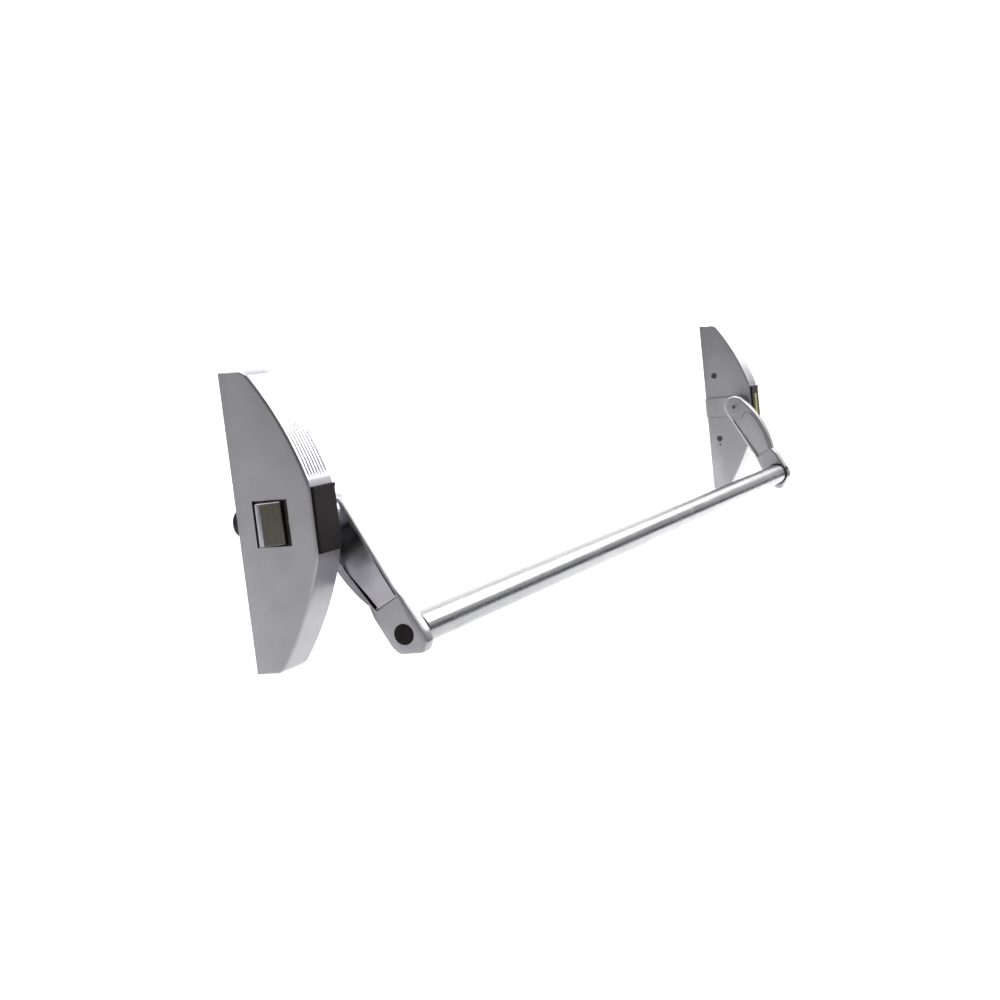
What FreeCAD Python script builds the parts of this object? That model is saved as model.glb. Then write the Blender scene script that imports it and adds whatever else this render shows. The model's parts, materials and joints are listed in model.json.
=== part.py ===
import FreeCAD, Part
import Sketcher

import math
import os
from types import SimpleNamespace

# Panic exit bar for a fire door: a latch case and a hinge-side case screwed to the door, a tube
# carried on two arms between them, and in the latch case a shaft lever that lifts a slide, whose
# sloping slot draws the latch bolt in.
#
# Frame: +X runs along the bar from the latch case to the hinge case, +Y goes into the door, +Z is
# up. The door's surface is the plane Y = 0 and the origin is the centre of the latch case's back.
# Inside each case "u" is the distance from the case's middle towards the bar, so u = X on the
# latch side and u = case_spacing - X on the hinge side. Depths are distances in front of the door.

SIZES = {
    # the two cases
    "case_spacing": 1130,
    "case_width": 34,
    "case_height": 218,
    "case_depth": 62,
    "end_depth": 20,
    "front_half": 25,
    "slope_radius": 247,
    "wall": 2,
    "edge_round": 1.8,
    "corner_round": 3,
    "groove_pitch": 4,
    "groove_width": 1.1,
    "groove_depth": 0.7,
    "groove_low": 31,
    "groove_high": 105,
    "band_half": 12.5,
    "band_height": 4,
    "insert_half_width": 14.6,
    "insert_half_height": 23.8,
    "insert_proud": 2,
    "insert_back": 58.5,
    "lip_height": 2.6,
    "lip_proud": 0.6,
    "fit_gap": 0.2,
    # sheet-metal base inside each case
    "plate_thick": 2.5,
    "flange_thick": 2,
    "flange_half": 50,
    "flange_depth": 58,
    "flange_end_depth": 46,
    "flange_front_half": 26,
    "fixing_radius": 3.3,
    "fixing_half_spacing": 92,
    "screw_depth": 14,
    "screw_height": 42,
    "screw_radius": 2,
    "screw_head_radius": 3.8,
    "screw_head_thick": 1.2,
    "pilot_radius": 1.3,
    "pilot_drop": 8,
    # pivot
    "pivot_depth": 46,
    "rest_angle": 28.6,
    "swing": 22,
    "shaft_radius": 6,
    "journal_radius": 4,
    "running_gap": 0.05,
    "bush_wall": 2,
    "bush_flange_radius": 12,
    "bush_flange_thick": 2,
    "outer_bush_flange": 1,
    # arms
    "arm_standoff": 14,
    "arm_thick": 13,
    "arm_length": 105,
    "arm_top_radius": 14,
    "arm_bow_radius": 110.4,
    "arm_bow_waist": 12.3,
    "arm_waist": 12.8,
    "arm_waist_drop": 73,
    "arm_half_width": 14.3,
    "arm_block_top": 82,
    "arm_hub_radius": 12.5,
    "arm_near_round": 0.6,
    "arm_far_round": 2.2,
    "arm_hub_gap": 1,
    "arm_bore_end": 6,
    "ramp_straight": 10.2,
    "ramp_bow": 9.8,
    "ramp_top": 17,
    "ramp_low": 79,
    "ramp_depth": 9,
    "ramp_radius": 222,
    "slit_width": 1.5,
    "slit_depth": 7.5,
    "slit_top": 40,
    "slit_low": 77,
    "panel_half_width": 9.2,
    "panel_top": 24,
    "panel_low": 73,
    "panel_shallow": 0.8,
    "panel_deep": 3.6,
    "pivot_screw_head": 4.8,
    "pivot_screw_radius": 3,
    "washer_radius": 7.4,
    "washer_thick": 1.2,
    # push tube and its ends
    "tube_radius": 12.5,
    "tube_wall": 1.5,
    "socket_depth": 7,
    "socket_gap": 0.05,
    "plug_length": 23,
    "collar_radius": 13.7,
    "collar_thick": 2.5,
    "clamp_radius": 4,
    "clamp_head_radius": 6.5,
    "clamp_head_thick": 2.2,
    "clamp_length": 20,
    "cap_radius": 7.9,
    "cap_thick": 1.1,
    "cap_sink": 0.2,
    "cap_stub_radius": 2.6,
    "grub_radius": 2.5,
    "grub_proud": 1.2,
    # latch mechanism
    "bolt_throw": 10,
    "bolt_back": 22,
    "bolt_front": 37.5,
    "bolt_half_height": 15.5,
    "bolt_tail": 5.4,
    "bolt_tip_flat": 3,
    "bolt_front_reach": 0.6,
    "opening_back": 14,
    "opening_front": 42.5,
    "opening_half": 16.8,
    "guide_gap": 0.3,
    "guide_wall": 1.2,
    "drive_pin_radius": 2.2,
    "drive_pin_u": 9.3,
    "drive_pin_z": 10,
    "slot_gap": 0.25,
    "lever_radius": 29,
    "lever_hub_radius": 8.8,
    "lever_half_width": 3.6,
    "lever_nose_radius": 4,
    "lever_thick": 3.6,
    "lever_start": 8.6,
    "slide_lift": 11.07,
    "slide_back": 15.5,
    "slide_thick": 3,
    "slide_half_width": 12.2,
    "slide_top": 32,
    "slide_bottom": 41,
    "tongue_half_width": 2.5,
    "tongue_length": 12,
    "post_radius": 2.5,
    "post_head_radius": 5,
    "post_head_thick": 1.4,
    "upper_post_z": 26,
    "lower_post_z": 24,
    "crank_u": 8.33,
    "crank_pin_radius": 2,
    "crank_gap": 0.4,
    "follower_radius": 12.2,
    "follower_front": 12.4,
    "follower_back": 3,
    "boss_radius": 9.5,
    "boss_gap": 0.1,
    "boss_proud": 9,
    "spindle_half": 4.5,
    # springs
    "lift_spring_radius": 4.4,
    "lift_spring_wire": 0.6,
    "lift_spring_top": 78,
    "lift_spring_turns": 11,
    "seat_half_width": 8,
    "seat_thick": 4,
    "peg_radius": 2.9,
    "peg_length": 8,
    "coil_radius": 7.7,
    "coil_wire": 0.9,
    "coil_half_length": 7.5,
    "coil_turns": 7,
    "coil_leg": 40,
    "anchor_half_width": 2.2,
    "strip_half_width": 5,
    "strip_half_height": 14,
    "strip_thick": 0.8,
}


class Size:
    """A length known both as a number and as the expression over the sheet that gives it."""

    def __init__(self, value, text):
        self.value = value
        self.text = text

    def __add__(self, other):
        other = as_size(other)
        return Size(self.value + other.value, f"({self.text} + {other.text})")

    def __sub__(self, other):
        other = as_size(other)
        return Size(self.value - other.value, f"({self.text} - {other.text})")

    def __mul__(self, other):
        other = as_size(other)
        return Size(self.value * other.value, f"({self.text} * {other.text})")

    def __truediv__(self, other):
        other = as_size(other)
        return Size(self.value / other.value, f"({self.text} / {other.text})")

    def __neg__(self):
        return Size(-self.value, f"(0 - {self.text})")


def as_size(number):
    if isinstance(number, Size):
        return number
    return Size(float(number), f"({float(number)})")


doc = FreeCAD.newDocument("PanicExitBar")
sheet = doc.addObject("Spreadsheet::Sheet", "Sizes")
for row, (alias, number) in enumerate(SIZES.items(), start=1):
    sheet.set(f"A{row}", alias)
    sheet.set(f"B{row}", str(number))
    sheet.setAlias(f"B{row}", alias)
doc.recompute()
d = SimpleNamespace(**{alias: Size(float(number), f"Sizes.{alias}") for alias, number in SIZES.items()})

NODES = []
LATCH = 1
HINGE = -1
SIDE_NAMES = {LATCH: "latch", HINGE: "hinge"}


def bind(target, path, size):
    target.setExpression(path, as_size(size).text)


def keep(node, label):
    """Register an object as one finished piece of the exit bar."""
    node.Label = label
    NODES.append(node)
    return node


def case_x(side):
    """X of the middle of the case on this side."""
    return 0.0 if side == LATCH else d.case_spacing.value


def place(node, x=0.0, y=0.0, z=0.0, angle=0.0, axis=(1, 0, 0)):
    rotation = FreeCAD.Rotation(FreeCAD.Vector(*axis), angle)
    node.Placement = FreeCAD.Placement(FreeCAD.Vector(x, y, z), rotation)


def place_in_case(node, side):
    place(node, x=case_x(side))


def place_on_pivot(node, side, angle=0.0):
    """Put a piece drawn about its own pivot axis onto the shaft, turned about X."""
    place(node, x=case_x(side), y=-d.pivot_depth.value, angle=angle)


# ---------------------------------------------------------------- sketch outlines


def fix_point(sketch, index, which, across, up):
    """Hold one sketch point at signed distances from the sketch's origin."""
    for kind, size in (("DistanceX", across), ("DistanceY", up)):
        size = as_size(size)
        number = sketch.addConstraint(Sketcher.Constraint(kind, -1, 1, index, which, size.value))
        sketch.setExpression(f"Constraints[{number}]", size.text)


def fix_radius(sketch, index, radius):
    radius = as_size(radius)
    number = sketch.addConstraint(Sketcher.Constraint("Radius", index, radius.value))
    sketch.setExpression(f"Constraints[{number}]", radius.text)


def vector(point):
    across, up = (as_size(size).value for size in point)
    return FreeCAD.Vector(across, up, 0)


def arc_centre(start, end, radius, left):
    """Centre of the short arc from start to end that lies left (or right) of the way between."""
    chord = end - start
    half = chord.Length / 2
    normal = FreeCAD.Vector(-chord.y, chord.x, 0).normalize()
    reach = math.sqrt(max(radius * radius - half * half, 0)) * (1 if left else -1)
    centre = (start + end) * 0.5 + normal * reach
    return centre


def outline(*steps):
    """Closed outline: each step is a point (across, up), or (across, up, radius, left) where the
    stretch that leads to the point is an arc with its centre on the left or the right. A half
    circle's centre lies on the across axis."""

    def draw(sketch):
        count = len(steps)
        for number, step in enumerate(steps):
            start = vector(steps[number - 1][:2])
            end = vector(step[:2])
            if len(step) == 2:
                sketch.addGeometry(Part.LineSegment(start, end), False)
                fix_point(sketch, number, 2, *step)
                continue
            radius, left = step[2:]
            centre = arc_centre(start, end, as_size(radius).value, left)
            first = math.atan2(start.y - centre.y, start.x - centre.x)
            last = math.atan2(end.y - centre.y, end.x - centre.x)
            low, high = (first, last) if left else (last, first)
            circle = Part.Circle(centre, FreeCAD.Vector(0, 0, 1), as_size(radius).value)
            sketch.addGeometry(Part.ArcOfCircle(circle, low, high), False)
            fix_point(sketch, number, 2 if left else 1, *step[:2])
            if (end - start).Length < 2 * as_size(radius).value:
                fix_radius(sketch, number, radius)
            else:
                sketch.addConstraint(Sketcher.Constraint("PointOnObject", number, 3, -1))
        arcs = [len(step) > 2 and not step[3] for step in steps]
        for number in range(count):
            before = (number - 1) % count
            sketch.addConstraint(
                Sketcher.Constraint(
                    "Coincident", before, 1 if arcs[before] else 2, number, 2 if arcs[number] else 1
                )
            )

    return draw


def rectangle(low_across, low_up, high_across, high_up):
    return outline(
        (low_across, low_up), (high_across, low_up), (high_across, high_up), (low_across, high_up)
    )


def circle(across, up, radius):
    def draw(sketch):
        ring = Part.Circle(vector((across, up)), FreeCAD.Vector(0, 0, 1), as_size(radius).value)
        index = sketch.addGeometry(ring, False)
        fix_point(sketch, index, 3, across, up)
        fix_radius(sketch, index, radius)

    return draw


def slot(first, second, radius):
    """Round-ended slot between two centres."""

    def draw(sketch):
        start, end = vector(first), vector(second)
        reach = as_size(radius).value
        along = math.atan2(end.y - start.y, end.x - start.x)
        side = FreeCAD.Vector(-math.sin(along), math.cos(along), 0) * reach
        up = FreeCAD.Vector(0, 0, 1)
        quarter = math.pi / 2
        tail = Part.ArcOfCircle(Part.Circle(start, up, reach), along + quarter, along + 3 * quarter)
        head = Part.ArcOfCircle(Part.Circle(end, up, reach), along - quarter, along + quarter)
        sketch.addGeometry(tail, False)
        sketch.addGeometry(Part.LineSegment(start - side, end - side), False)
        sketch.addGeometry(head, False)
        sketch.addGeometry(Part.LineSegment(end + side, start + side), False)
        for one, one_end, other, other_end in ((0, 2, 1, 1), (1, 2, 2, 1), (2, 2, 3, 1), (3, 2, 0, 1)):
            sketch.addConstraint(Sketcher.Constraint("Tangent", one, one_end, other, other_end))
        fix_point(sketch, 0, 3, *first)
        fix_point(sketch, 2, 3, *second)
        fix_radius(sketch, 0, radius)

    return draw


# ---------------------------------------------------------------- features


def new_body(label):
    return keep(doc.addObject("PartDesign::Body", label), label)


def origin_feature(body, role):
    return next(item for item in body.Origin.OriginFeatures if item.Role == role)


def extrude(body, name, plane, start, length, draw, cut=False):
    """Pad (or cut) an outline from start over length along the plane's normal.

    The normal of YZ_Plane is +X, of XZ_Plane -Y (so that start is a depth in front of the door)
    and of XY_Plane +Z."""
    sketch = body.newObject("Sketcher::SketchObject", name + "_outline")
    sketch.AttachmentSupport = [(origin_feature(body, plane), "")]
    sketch.MapMode = "FlatFace"
    bind(sketch, "AttachmentOffset.Base.z", start)
    draw(sketch)
    feature = body.newObject("PartDesign::Pocket" if cut else "PartDesign::Pad", name)
    feature.Profile = sketch
    feature.Reversed = cut
    bind(feature, "Length", length)
    return feature


def across_case(body, name, side, near, far, draw, cut=False):
    """Extrude a side-view outline from u = near to u = far on either side of the bar."""
    near, far = as_size(near), as_size(far)
    start = near if side == LATCH else -far
    return extrude(body, name, "YZ_Plane", start, far - near, draw, cut)


def soften(body, name, radius, wanted):
    """Fillet the edges of the body's tip whose middle point passes the test."""
    doc.recompute()
    base = body.Tip
    names = []
    for number, edge in enumerate(base.Shape.Edges, start=1):
        middle = edge.valueAt((edge.FirstParameter + edge.LastParameter) / 2)
        if wanted(middle):
            names.append(f"Edge{number}")
    feature = body.newObject("PartDesign::Fillet", name)
    feature.Base = (base, names)
    bind(feature, "Radius", radius)
    return feature


# ---------------------------------------------------------------- the two cases

HALF_WIDTH = d.case_width / 2
HALF_HEIGHT = d.case_height / 2
INNER_WIDTH = HALF_WIDTH - d.wall
FLANGE_OUT = INNER_WIDTH - 0.3
FLANGE_IN = FLANGE_OUT - d.flange_thick
BAND_TOP = HALF_WIDTH + d.band_height
BUSH_RADIUS = d.shaft_radius + d.bush_wall
OUTER_BUSH_RADIUS = d.journal_radius + d.bush_wall


def case_profile():
    """Side view of a case: flat back, short flat ends, bowed slopes and a flat front."""
    front, end = -d.case_depth, -d.end_depth
    return outline(
        (0, -HALF_HEIGHT),
        (0, HALF_HEIGHT),
        (end, HALF_HEIGHT),
        (front, d.front_half, d.slope_radius, True),
        (front, -d.front_half),
        (end, -HALF_HEIGHT, d.slope_radius, True),
    )


def cavity_profile():
    """The case's inside, one wall in from the outside and open at the back."""
    front, end = -(d.case_depth - d.wall), -(d.end_depth - d.wall / 2)
    top, flat = HALF_HEIGHT - d.wall, d.front_half - d.wall * 0.4
    return outline(
        (1, -top),
        (1, top),
        (end, top),
        (front, flat, d.slope_radius - d.wall, True),
        (front, -flat),
        (end, -top, d.slope_radius - d.wall, True),
    )


def groove_profile(sketch):
    """Thin band under the upper slope: two arcs about the slope's own centre."""
    start, end = vector((-d.end_depth, HALF_HEIGHT)), vector((-d.case_depth, d.front_half))
    centre = arc_centre(start, end, d.slope_radius.value, True)
    up = FreeCAD.Vector(0, 0, 1)

    def angle_at(height, radius):
        return math.pi - math.asin((height - centre.y) / radius)

    guide = Part.Circle(centre, up, d.slope_radius.value)
    ends = [math.atan2(point.y - centre.y, point.x - centre.x) for point in (start, end)]
    ends = [angle % (2 * math.pi) for angle in ends]
    sketch.addGeometry(Part.ArcOfCircle(guide, *ends), True)
    fix_point(sketch, 0, 1, -d.end_depth, HALF_HEIGHT)
    fix_point(sketch, 0, 2, -d.case_depth, d.front_half)
    fix_radius(sketch, 0, d.slope_radius)
    corners = []
    for radius in (d.slope_radius - d.groove_depth, d.slope_radius + 1):
        ring = Part.Circle(centre, up, radius.value)
        high = angle_at(d.groove_high.value, radius.value)
        low = angle_at(d.groove_low.value, radius.value)
        index = sketch.addGeometry(Part.ArcOfCircle(ring, high, low), False)
        sketch.addConstraint(Sketcher.Constraint("Coincident", index, 3, 0, 3))
        fix_radius(sketch, index, radius)
        for which, height in ((1, d.groove_high), (2, d.groove_low)):
            number = sketch.addConstraint(
                Sketcher.Constraint("DistanceY", -1, 1, index, which, height.value)
            )
            sketch.setExpression(f"Constraints[{number}]", height.text)
        corners.append((index, ring, high, low))
    (inner, inner_ring, *inner_ends), (outer, outer_ring, *outer_ends) = corners
    for which, inner_angle, outer_angle in zip((1, 2), inner_ends, outer_ends):
        line = Part.LineSegment(inner_ring.value(inner_angle), outer_ring.value(outer_angle))
        index = sketch.addGeometry(line, False)
        sketch.addConstraint(Sketcher.Constraint("Coincident", index, 1, inner, which))
        sketch.addConstraint(Sketcher.Constraint("Coincident", index, 2, outer, which))


def case_cover(side):
    """Cast shell of one case, with the raised band and bearing boss on the side of the arm."""
    body = new_body(f"{SIDE_NAMES[side]}_case_cover")
    across_case(body, "shell", side, -HALF_WIDTH, HALF_WIDTH, case_profile())
    half = HALF_WIDTH.value

    def corner_edge(middle):
        return abs(middle.x) < 0.01 and middle.y < -1

    def outer_edge(middle):
        return abs(abs(middle.x) - half) < 0.01 and middle.y < -1

    soften(body, "soft_corners", d.corner_round, corner_edge)
    soften(body, "rounded_edges", d.edge_round, outer_edge)
    across_case(body, "hollow", side, -INNER_WIDTH, INNER_WIDTH, cavity_profile(), cut=True)
    for number in range(-3, 4):
        start = d.groove_pitch * number - d.groove_width / 2
        extrude(body, "groove", "YZ_Plane", start, d.groove_width, groove_profile, cut=True)
    window_half = d.insert_half_width + d.fit_gap
    window_top = d.insert_half_height + d.fit_gap
    window = rectangle(-window_half, -window_top, window_half, window_top)
    extrude(body, "front_window", "XZ_Plane", d.insert_back, 6, window, cut=True)
    pivot = -d.pivot_depth
    band = rectangle(pivot, -d.band_half, 0, d.band_half)
    across_case(body, "raised_band", side, INNER_WIDTH + 1, BAND_TOP, band)
    boss = circle(pivot, 0, d.band_half)
    across_case(body, "bearing_boss", side, INNER_WIDTH + 1, BAND_TOP, boss)
    bore = circle(pivot, 0, BUSH_RADIUS + d.fit_gap / 2)
    across_case(body, "shaft_hole", side, INNER_WIDTH - 1, BAND_TOP + 1, bore, cut=True)
    for height in (d.screw_height, -d.screw_height):
        hole = circle(-d.screw_depth, height, d.screw_radius + d.fit_gap)
        across_case(body, "screw_hole", side, INNER_WIDTH - 1, HALF_WIDTH + 1, hole, cut=True)
        sink = circle(-d.screw_depth, height, d.screw_head_radius + d.fit_gap)
        floor = HALF_WIDTH - d.screw_head_thick
        across_case(body, "screw_sink", side, floor, HALF_WIDTH + 1, sink, cut=True)
    pilot = circle(-d.screw_depth, -(d.screw_height + d.pilot_drop), d.pilot_radius)
    across_case(body, "pilot_hole", side, INNER_WIDTH - 1, HALF_WIDTH + 1, pilot, cut=True)
    if side == LATCH:
        opening = rectangle(-d.opening_front, -d.opening_half, -d.opening_back, d.opening_half)
        across_case(body, "bolt_opening", side, -HALF_WIDTH - 1, -INNER_WIDTH + 1, opening, cut=True)
    place_in_case(body, side)


def case_base(side):
    """Back plate with two upright flanges that carry the shaft, in one folded piece."""
    body = new_body(f"{SIDE_NAMES[side]}_base_plate")
    top = HALF_HEIGHT - d.wall - 0.4
    plate = rectangle(-FLANGE_OUT, -top, FLANGE_OUT, top)
    extrude(body, "plate", "XZ_Plane", 0, d.plate_thick, plate)
    flange = outline(
        (-1, -d.flange_half),
        (-1, d.flange_half),
        (-d.flange_end_depth, d.flange_half),
        (-d.flange_depth, d.flange_front_half),
        (-d.flange_depth, -d.flange_front_half),
        (-d.flange_end_depth, -d.flange_half),
    )
    across_case(body, "inboard_flange", side, FLANGE_IN, FLANGE_OUT, flange)
    across_case(body, "outboard_flange", side, -FLANGE_OUT, -FLANGE_IN, flange)
    for height in (d.fixing_half_spacing, -d.fixing_half_spacing):
        hole = circle(0, height, d.fixing_radius)
        extrude(body, "fixing_hole", "XZ_Plane", -1, 5, hole, cut=True)
    pivot = -d.pivot_depth
    inner_bore = circle(pivot, 0, BUSH_RADIUS)
    across_case(body, "inner_bush_hole", side, FLANGE_IN - 1, FLANGE_OUT + 1, inner_bore, cut=True)
    outer_bore = circle(pivot, 0, OUTER_BUSH_RADIUS)
    across_case(body, "outer_bush_hole", side, -FLANGE_OUT - 1, -FLANGE_IN + 1, outer_bore, cut=True)
    for height in (d.screw_height, -d.screw_height):
        hole = circle(-d.screw_depth, height, d.screw_radius)
        across_case(body, "thread", side, FLANGE_IN - 1, FLANGE_OUT + 1, hole, cut=True)
    if side == LATCH:
        gap = d.guide_gap
        window = rectangle(
            -d.bolt_front - gap, -d.bolt_half_height - gap, -d.bolt_back + gap, d.bolt_half_height + gap
        )
        across_case(body, "bolt_window", side, -FLANGE_OUT - 1, -FLANGE_IN + 1, window, cut=True)
        hub = circle(0, 0, d.boss_radius + d.boss_gap)
        extrude(body, "follower_hole", "XZ_Plane", -1, 5, hub, cut=True)
    place_in_case(body, side)


def front_insert(side):
    """Moulded block that closes the case's front, with a lip along its upper edge."""
    body = new_body(f"{SIDE_NAMES[side]}_front_insert")
    wide, tall = d.insert_half_width, d.insert_half_height
    front = d.case_depth + d.insert_proud
    face = rectangle(-wide, -tall, wide, tall)
    extrude(body, "block", "XZ_Plane", d.insert_back, front - d.insert_back, face)
    lip = rectangle(-wide, tall - d.lip_height, wide, tall)
    extrude(body, "lip", "XZ_Plane", front - 1, d.lip_proud + 1, lip)
    if side == HINGE:
        recess = rectangle(
            -d.strip_half_width, -d.strip_half_height, d.strip_half_width, d.strip_half_height
        )
        extrude(body, "strip_recess", "XZ_Plane", front - 0.4, 1, recess, cut=True)
    place_in_case(body, side)


def marker_strip():
    """Plain strip let into the hinge case's front insert."""
    body = new_body("hinge_marker_strip")
    front = d.case_depth + d.insert_proud
    strip = rectangle(
        -d.strip_half_width + d.fit_gap,
        -d.strip_half_height + d.fit_gap,
        d.strip_half_width - d.fit_gap,
        d.strip_half_height - d.fit_gap,
    )
    extrude(body, "strip", "XZ_Plane", front - 0.4, d.strip_thick, strip)
    place_in_case(body, HINGE)


# ---------------------------------------------------------------- round pieces along X


def rod(name, side, near, far, radius, across=0, up=0):
    """Plain cylinder from u = near to u = far, as a Part primitive."""
    near, far = as_size(near), as_size(far)
    bar = doc.addObject("Part::Cylinder", name)
    bind(bar, "Radius", radius)
    bind(bar, "Height", far - near)
    bar.Placement.Rotation = FreeCAD.Rotation(FreeCAD.Vector(0, 1, 0), 90)
    bind(bar, "Placement.Base.x", near if side == LATCH else -far)
    bind(bar, "Placement.Base.y", across)
    bind(bar, "Placement.Base.z", up)
    return bar


def cross_rod(name, near, far, radius, side=LATCH, across=0, up=0):
    """Plain cylinder along Y between two depths in front of the door."""
    near, far = as_size(near), as_size(far)
    bar = doc.addObject("Part::Cylinder", name)
    bind(bar, "Radius", radius)
    bind(bar, "Height", far - near)
    bar.Placement.Rotation = FreeCAD.Rotation(FreeCAD.Vector(1, 0, 0), 90)
    bind(bar, "Placement.Base.x", as_size(across) if side == LATCH else -as_size(across))
    bind(bar, "Placement.Base.y", -near)
    bind(bar, "Placement.Base.z", up)
    return bar


def socket_key(name, side, near, far, radius, across=0, up=0):
    """Hexagonal key recess from u = near to u = far."""
    near, far = as_size(near), as_size(far)
    key = doc.addObject("Part::Prism", name)
    key.Polygon = 6
    bind(key, "Circumradius", radius)
    bind(key, "Height", far - near)
    key.Placement.Rotation = FreeCAD.Rotation(FreeCAD.Vector(0, 1, 0), 90)
    bind(key, "Placement.Base.x", near if side == LATCH else -far)
    bind(key, "Placement.Base.y", across)
    bind(key, "Placement.Base.z", up)
    return key


def joined(name, *pieces):
    fuse = doc.addObject("Part::MultiFuse", name)
    fuse.Shapes = list(pieces)
    fuse.Refine = True
    return fuse


def less(name, base, tool):
    cut = doc.addObject("Part::Cut", name)
    cut.Base = base
    cut.Tool = tool
    return cut


def screw(name, side, head_near, head_far, head, shank_near, shank, key, across=0, up=0):
    """Screw along X: a head, a shank towards the case and a hexagonal recess in the head."""
    head_rod = rod(name + "_head", side, head_near, head_far, head, across, up)
    shank_rod = rod(name + "_shank", side, shank_near, head_near, shank, across, up)
    solid = joined(name + "_blank", head_rod, shank_rod)
    sunk = (as_size(head_far) - as_size(head_near)) * 0.7
    recess = socket_key(name + "_key", side, as_size(head_far) - sunk, as_size(head_far) + 1, key, across, up)
    return less(name, solid, recess)


def cover_screws(side):
    """Two screws that hold the cover to the base plate's inboard flange."""
    pair = []
    floor = HALF_WIDTH - d.screw_head_thick
    for height in (d.screw_height, -d.screw_height):
        pair.append(
            screw(
                "cover_screw",
                side,
                floor,
                HALF_WIDTH,
                d.screw_head_radius,
                FLANGE_IN,
                d.screw_radius,
                d.screw_radius * 0.9,
                -d.screw_depth,
                height,
            )
        )
    group = doc.addObject("Part::Compound", "cover_screws")
    group.Links = pair
    place_in_case(keep(group, f"{SIDE_NAMES[side]}_cover_screws"), side)


def shaft_bushes(side):
    """Flanged bushes: one through the inboard flange and boss, one in the outboard flange."""
    name = SIDE_NAMES[side]
    sleeve = rod("sleeve", side, FLANGE_IN, BAND_TOP, BUSH_RADIUS)
    flange = rod("flange", side, BAND_TOP, BAND_TOP + d.bush_flange_thick, d.bush_flange_radius)
    bore = rod("bore", side, FLANGE_IN - 1, BAND_TOP + 5, d.shaft_radius + d.running_gap)
    inner = less("inner_bush", joined("inner_blank", sleeve, flange), bore)
    place_on_pivot(keep(inner, f"{name}_inner_bush"), side)
    sleeve = rod("sleeve", side, -FLANGE_OUT, -FLANGE_IN, OUTER_BUSH_RADIUS)
    flange = rod("flange", side, -FLANGE_IN, -FLANGE_IN + d.outer_bush_flange, OUTER_BUSH_RADIUS + 0.6)
    bore = rod("bore", side, -FLANGE_OUT - 1, -FLANGE_IN + 3, d.journal_radius + d.running_gap)
    outer = less("outer_bush", joined("outer_blank", sleeve, flange), bore)
    place_on_pivot(keep(outer, f"{name}_outer_bush"), side)


ARM_NEAR = HALF_WIDTH + d.arm_standoff
ARM_FAR = ARM_NEAR + d.arm_thick
HUB_NEAR = BAND_TOP + d.bush_flange_thick + d.arm_hub_gap
BORE_FAR = ARM_FAR - d.arm_bore_end
SHOULDER = -FLANGE_IN + d.outer_bush_flange + 0.2
WASHER_NEAR = ARM_FAR - d.washer_thick
SOCKET_NEAR = ARM_FAR - d.socket_depth
CAP_NEAR = ARM_NEAR + d.cap_sink
CLAMP_HEAD_NEAR = CAP_NEAR + d.cap_thick
CLAMP_HEAD_FAR = CLAMP_HEAD_NEAR + d.clamp_head_thick


def pivot_shaft(side):
    """Shaft that the arm turns, with a journal at its outer end and a tapped inner end."""
    main = rod("main", side, SHOULDER, BORE_FAR, d.shaft_radius)
    journal = rod("journal", side, -FLANGE_OUT, SHOULDER, d.journal_radius)
    tapping = rod("tapping", side, BORE_FAR - 12, BORE_FAR + 1, d.pivot_screw_radius)
    shaft = less("shaft", joined("shaft_blank", main, journal), tapping)
    place_on_pivot(keep(shaft, f"{SIDE_NAMES[side]}_pivot_shaft"), side)


# ---------------------------------------------------------------- arms, drawn hanging straight down


def across_arm(side, *steps):
    """Outline over one arm: first value is the distance towards the bowed edge, which faces the
    door on the latch side and the user on the hinge side."""
    if side == LATCH:
        return outline(*steps)
    return outline(*[(-step[0], step[1], *step[2:3], *[not left for left in step[3:]]) for step in steps])


def arm_outline(side):
    """Side view of an arm: round top, one straight and one bowed edge, and a many-sided foot."""
    top, half, foot = d.arm_top_radius, d.arm_half_width, -d.arm_length
    return across_arm(
        side,
        (top * 0.94, top * 0.342, d.arm_bow_radius, True),
        (-top, 0, top, True),
        (-d.arm_waist, -d.arm_waist_drop),
        (-half, -d.arm_block_top),
        (-half, foot - half * 0.45),
        (half * -0.88, foot - half),
        (half * -0.4, foot - half * 1.36),
        (half * 0.83, foot - half * 0.73),
        (half, foot - half * 0.2),
        (half, -d.arm_block_top),
        (d.arm_bow_waist, -d.arm_waist_drop),
    )


def arm_ramp(side):
    """Long section of the case-side hollow: deep below the hub and level with the foot."""
    low, high = -d.ramp_low, -d.ramp_top
    floor = ARM_NEAR + d.ramp_depth
    near = ARM_NEAR - 1
    step = ARM_NEAR + 0.4
    flip = 1 if side == LATCH else -1
    left = side == HINGE
    return outline(
        (near * flip, low),
        (near * flip, high),
        (floor * flip, high),
        (step * flip, low, d.ramp_radius, left),
    )


def arm_slits(side):
    """Narrow slits on the case side that set off a thin rim along each edge."""
    high, low, wide = -d.slit_top, -d.slit_low, d.slit_width
    inner = d.ramp_straight - 0.5
    straight = (
        (-inner - wide, low),
        (-inner, low),
        (-inner, high),
        (-inner - wide, high),
    )
    inner = d.ramp_bow - 0.5
    bowed = (
        (inner, low),
        (inner + wide, low),
        (inner + wide * 3.8, high),
        (inner + wide * 2.8, high),
    )
    return [across_arm(side, *corners) for corners in (straight, bowed)]


def arm_panel(side):
    """Long section of the tube-side hollow: shallow below the hub and deep at the foot."""
    flip = 1 if side == LATCH else -1
    far = ARM_FAR + 1
    return outline(
        (far * flip, -d.panel_top),
        (far * flip, -d.panel_low),
        ((ARM_FAR - d.panel_deep) * flip, -d.panel_low),
        ((ARM_FAR - d.panel_shallow) * flip, -d.panel_top),
    )


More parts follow.
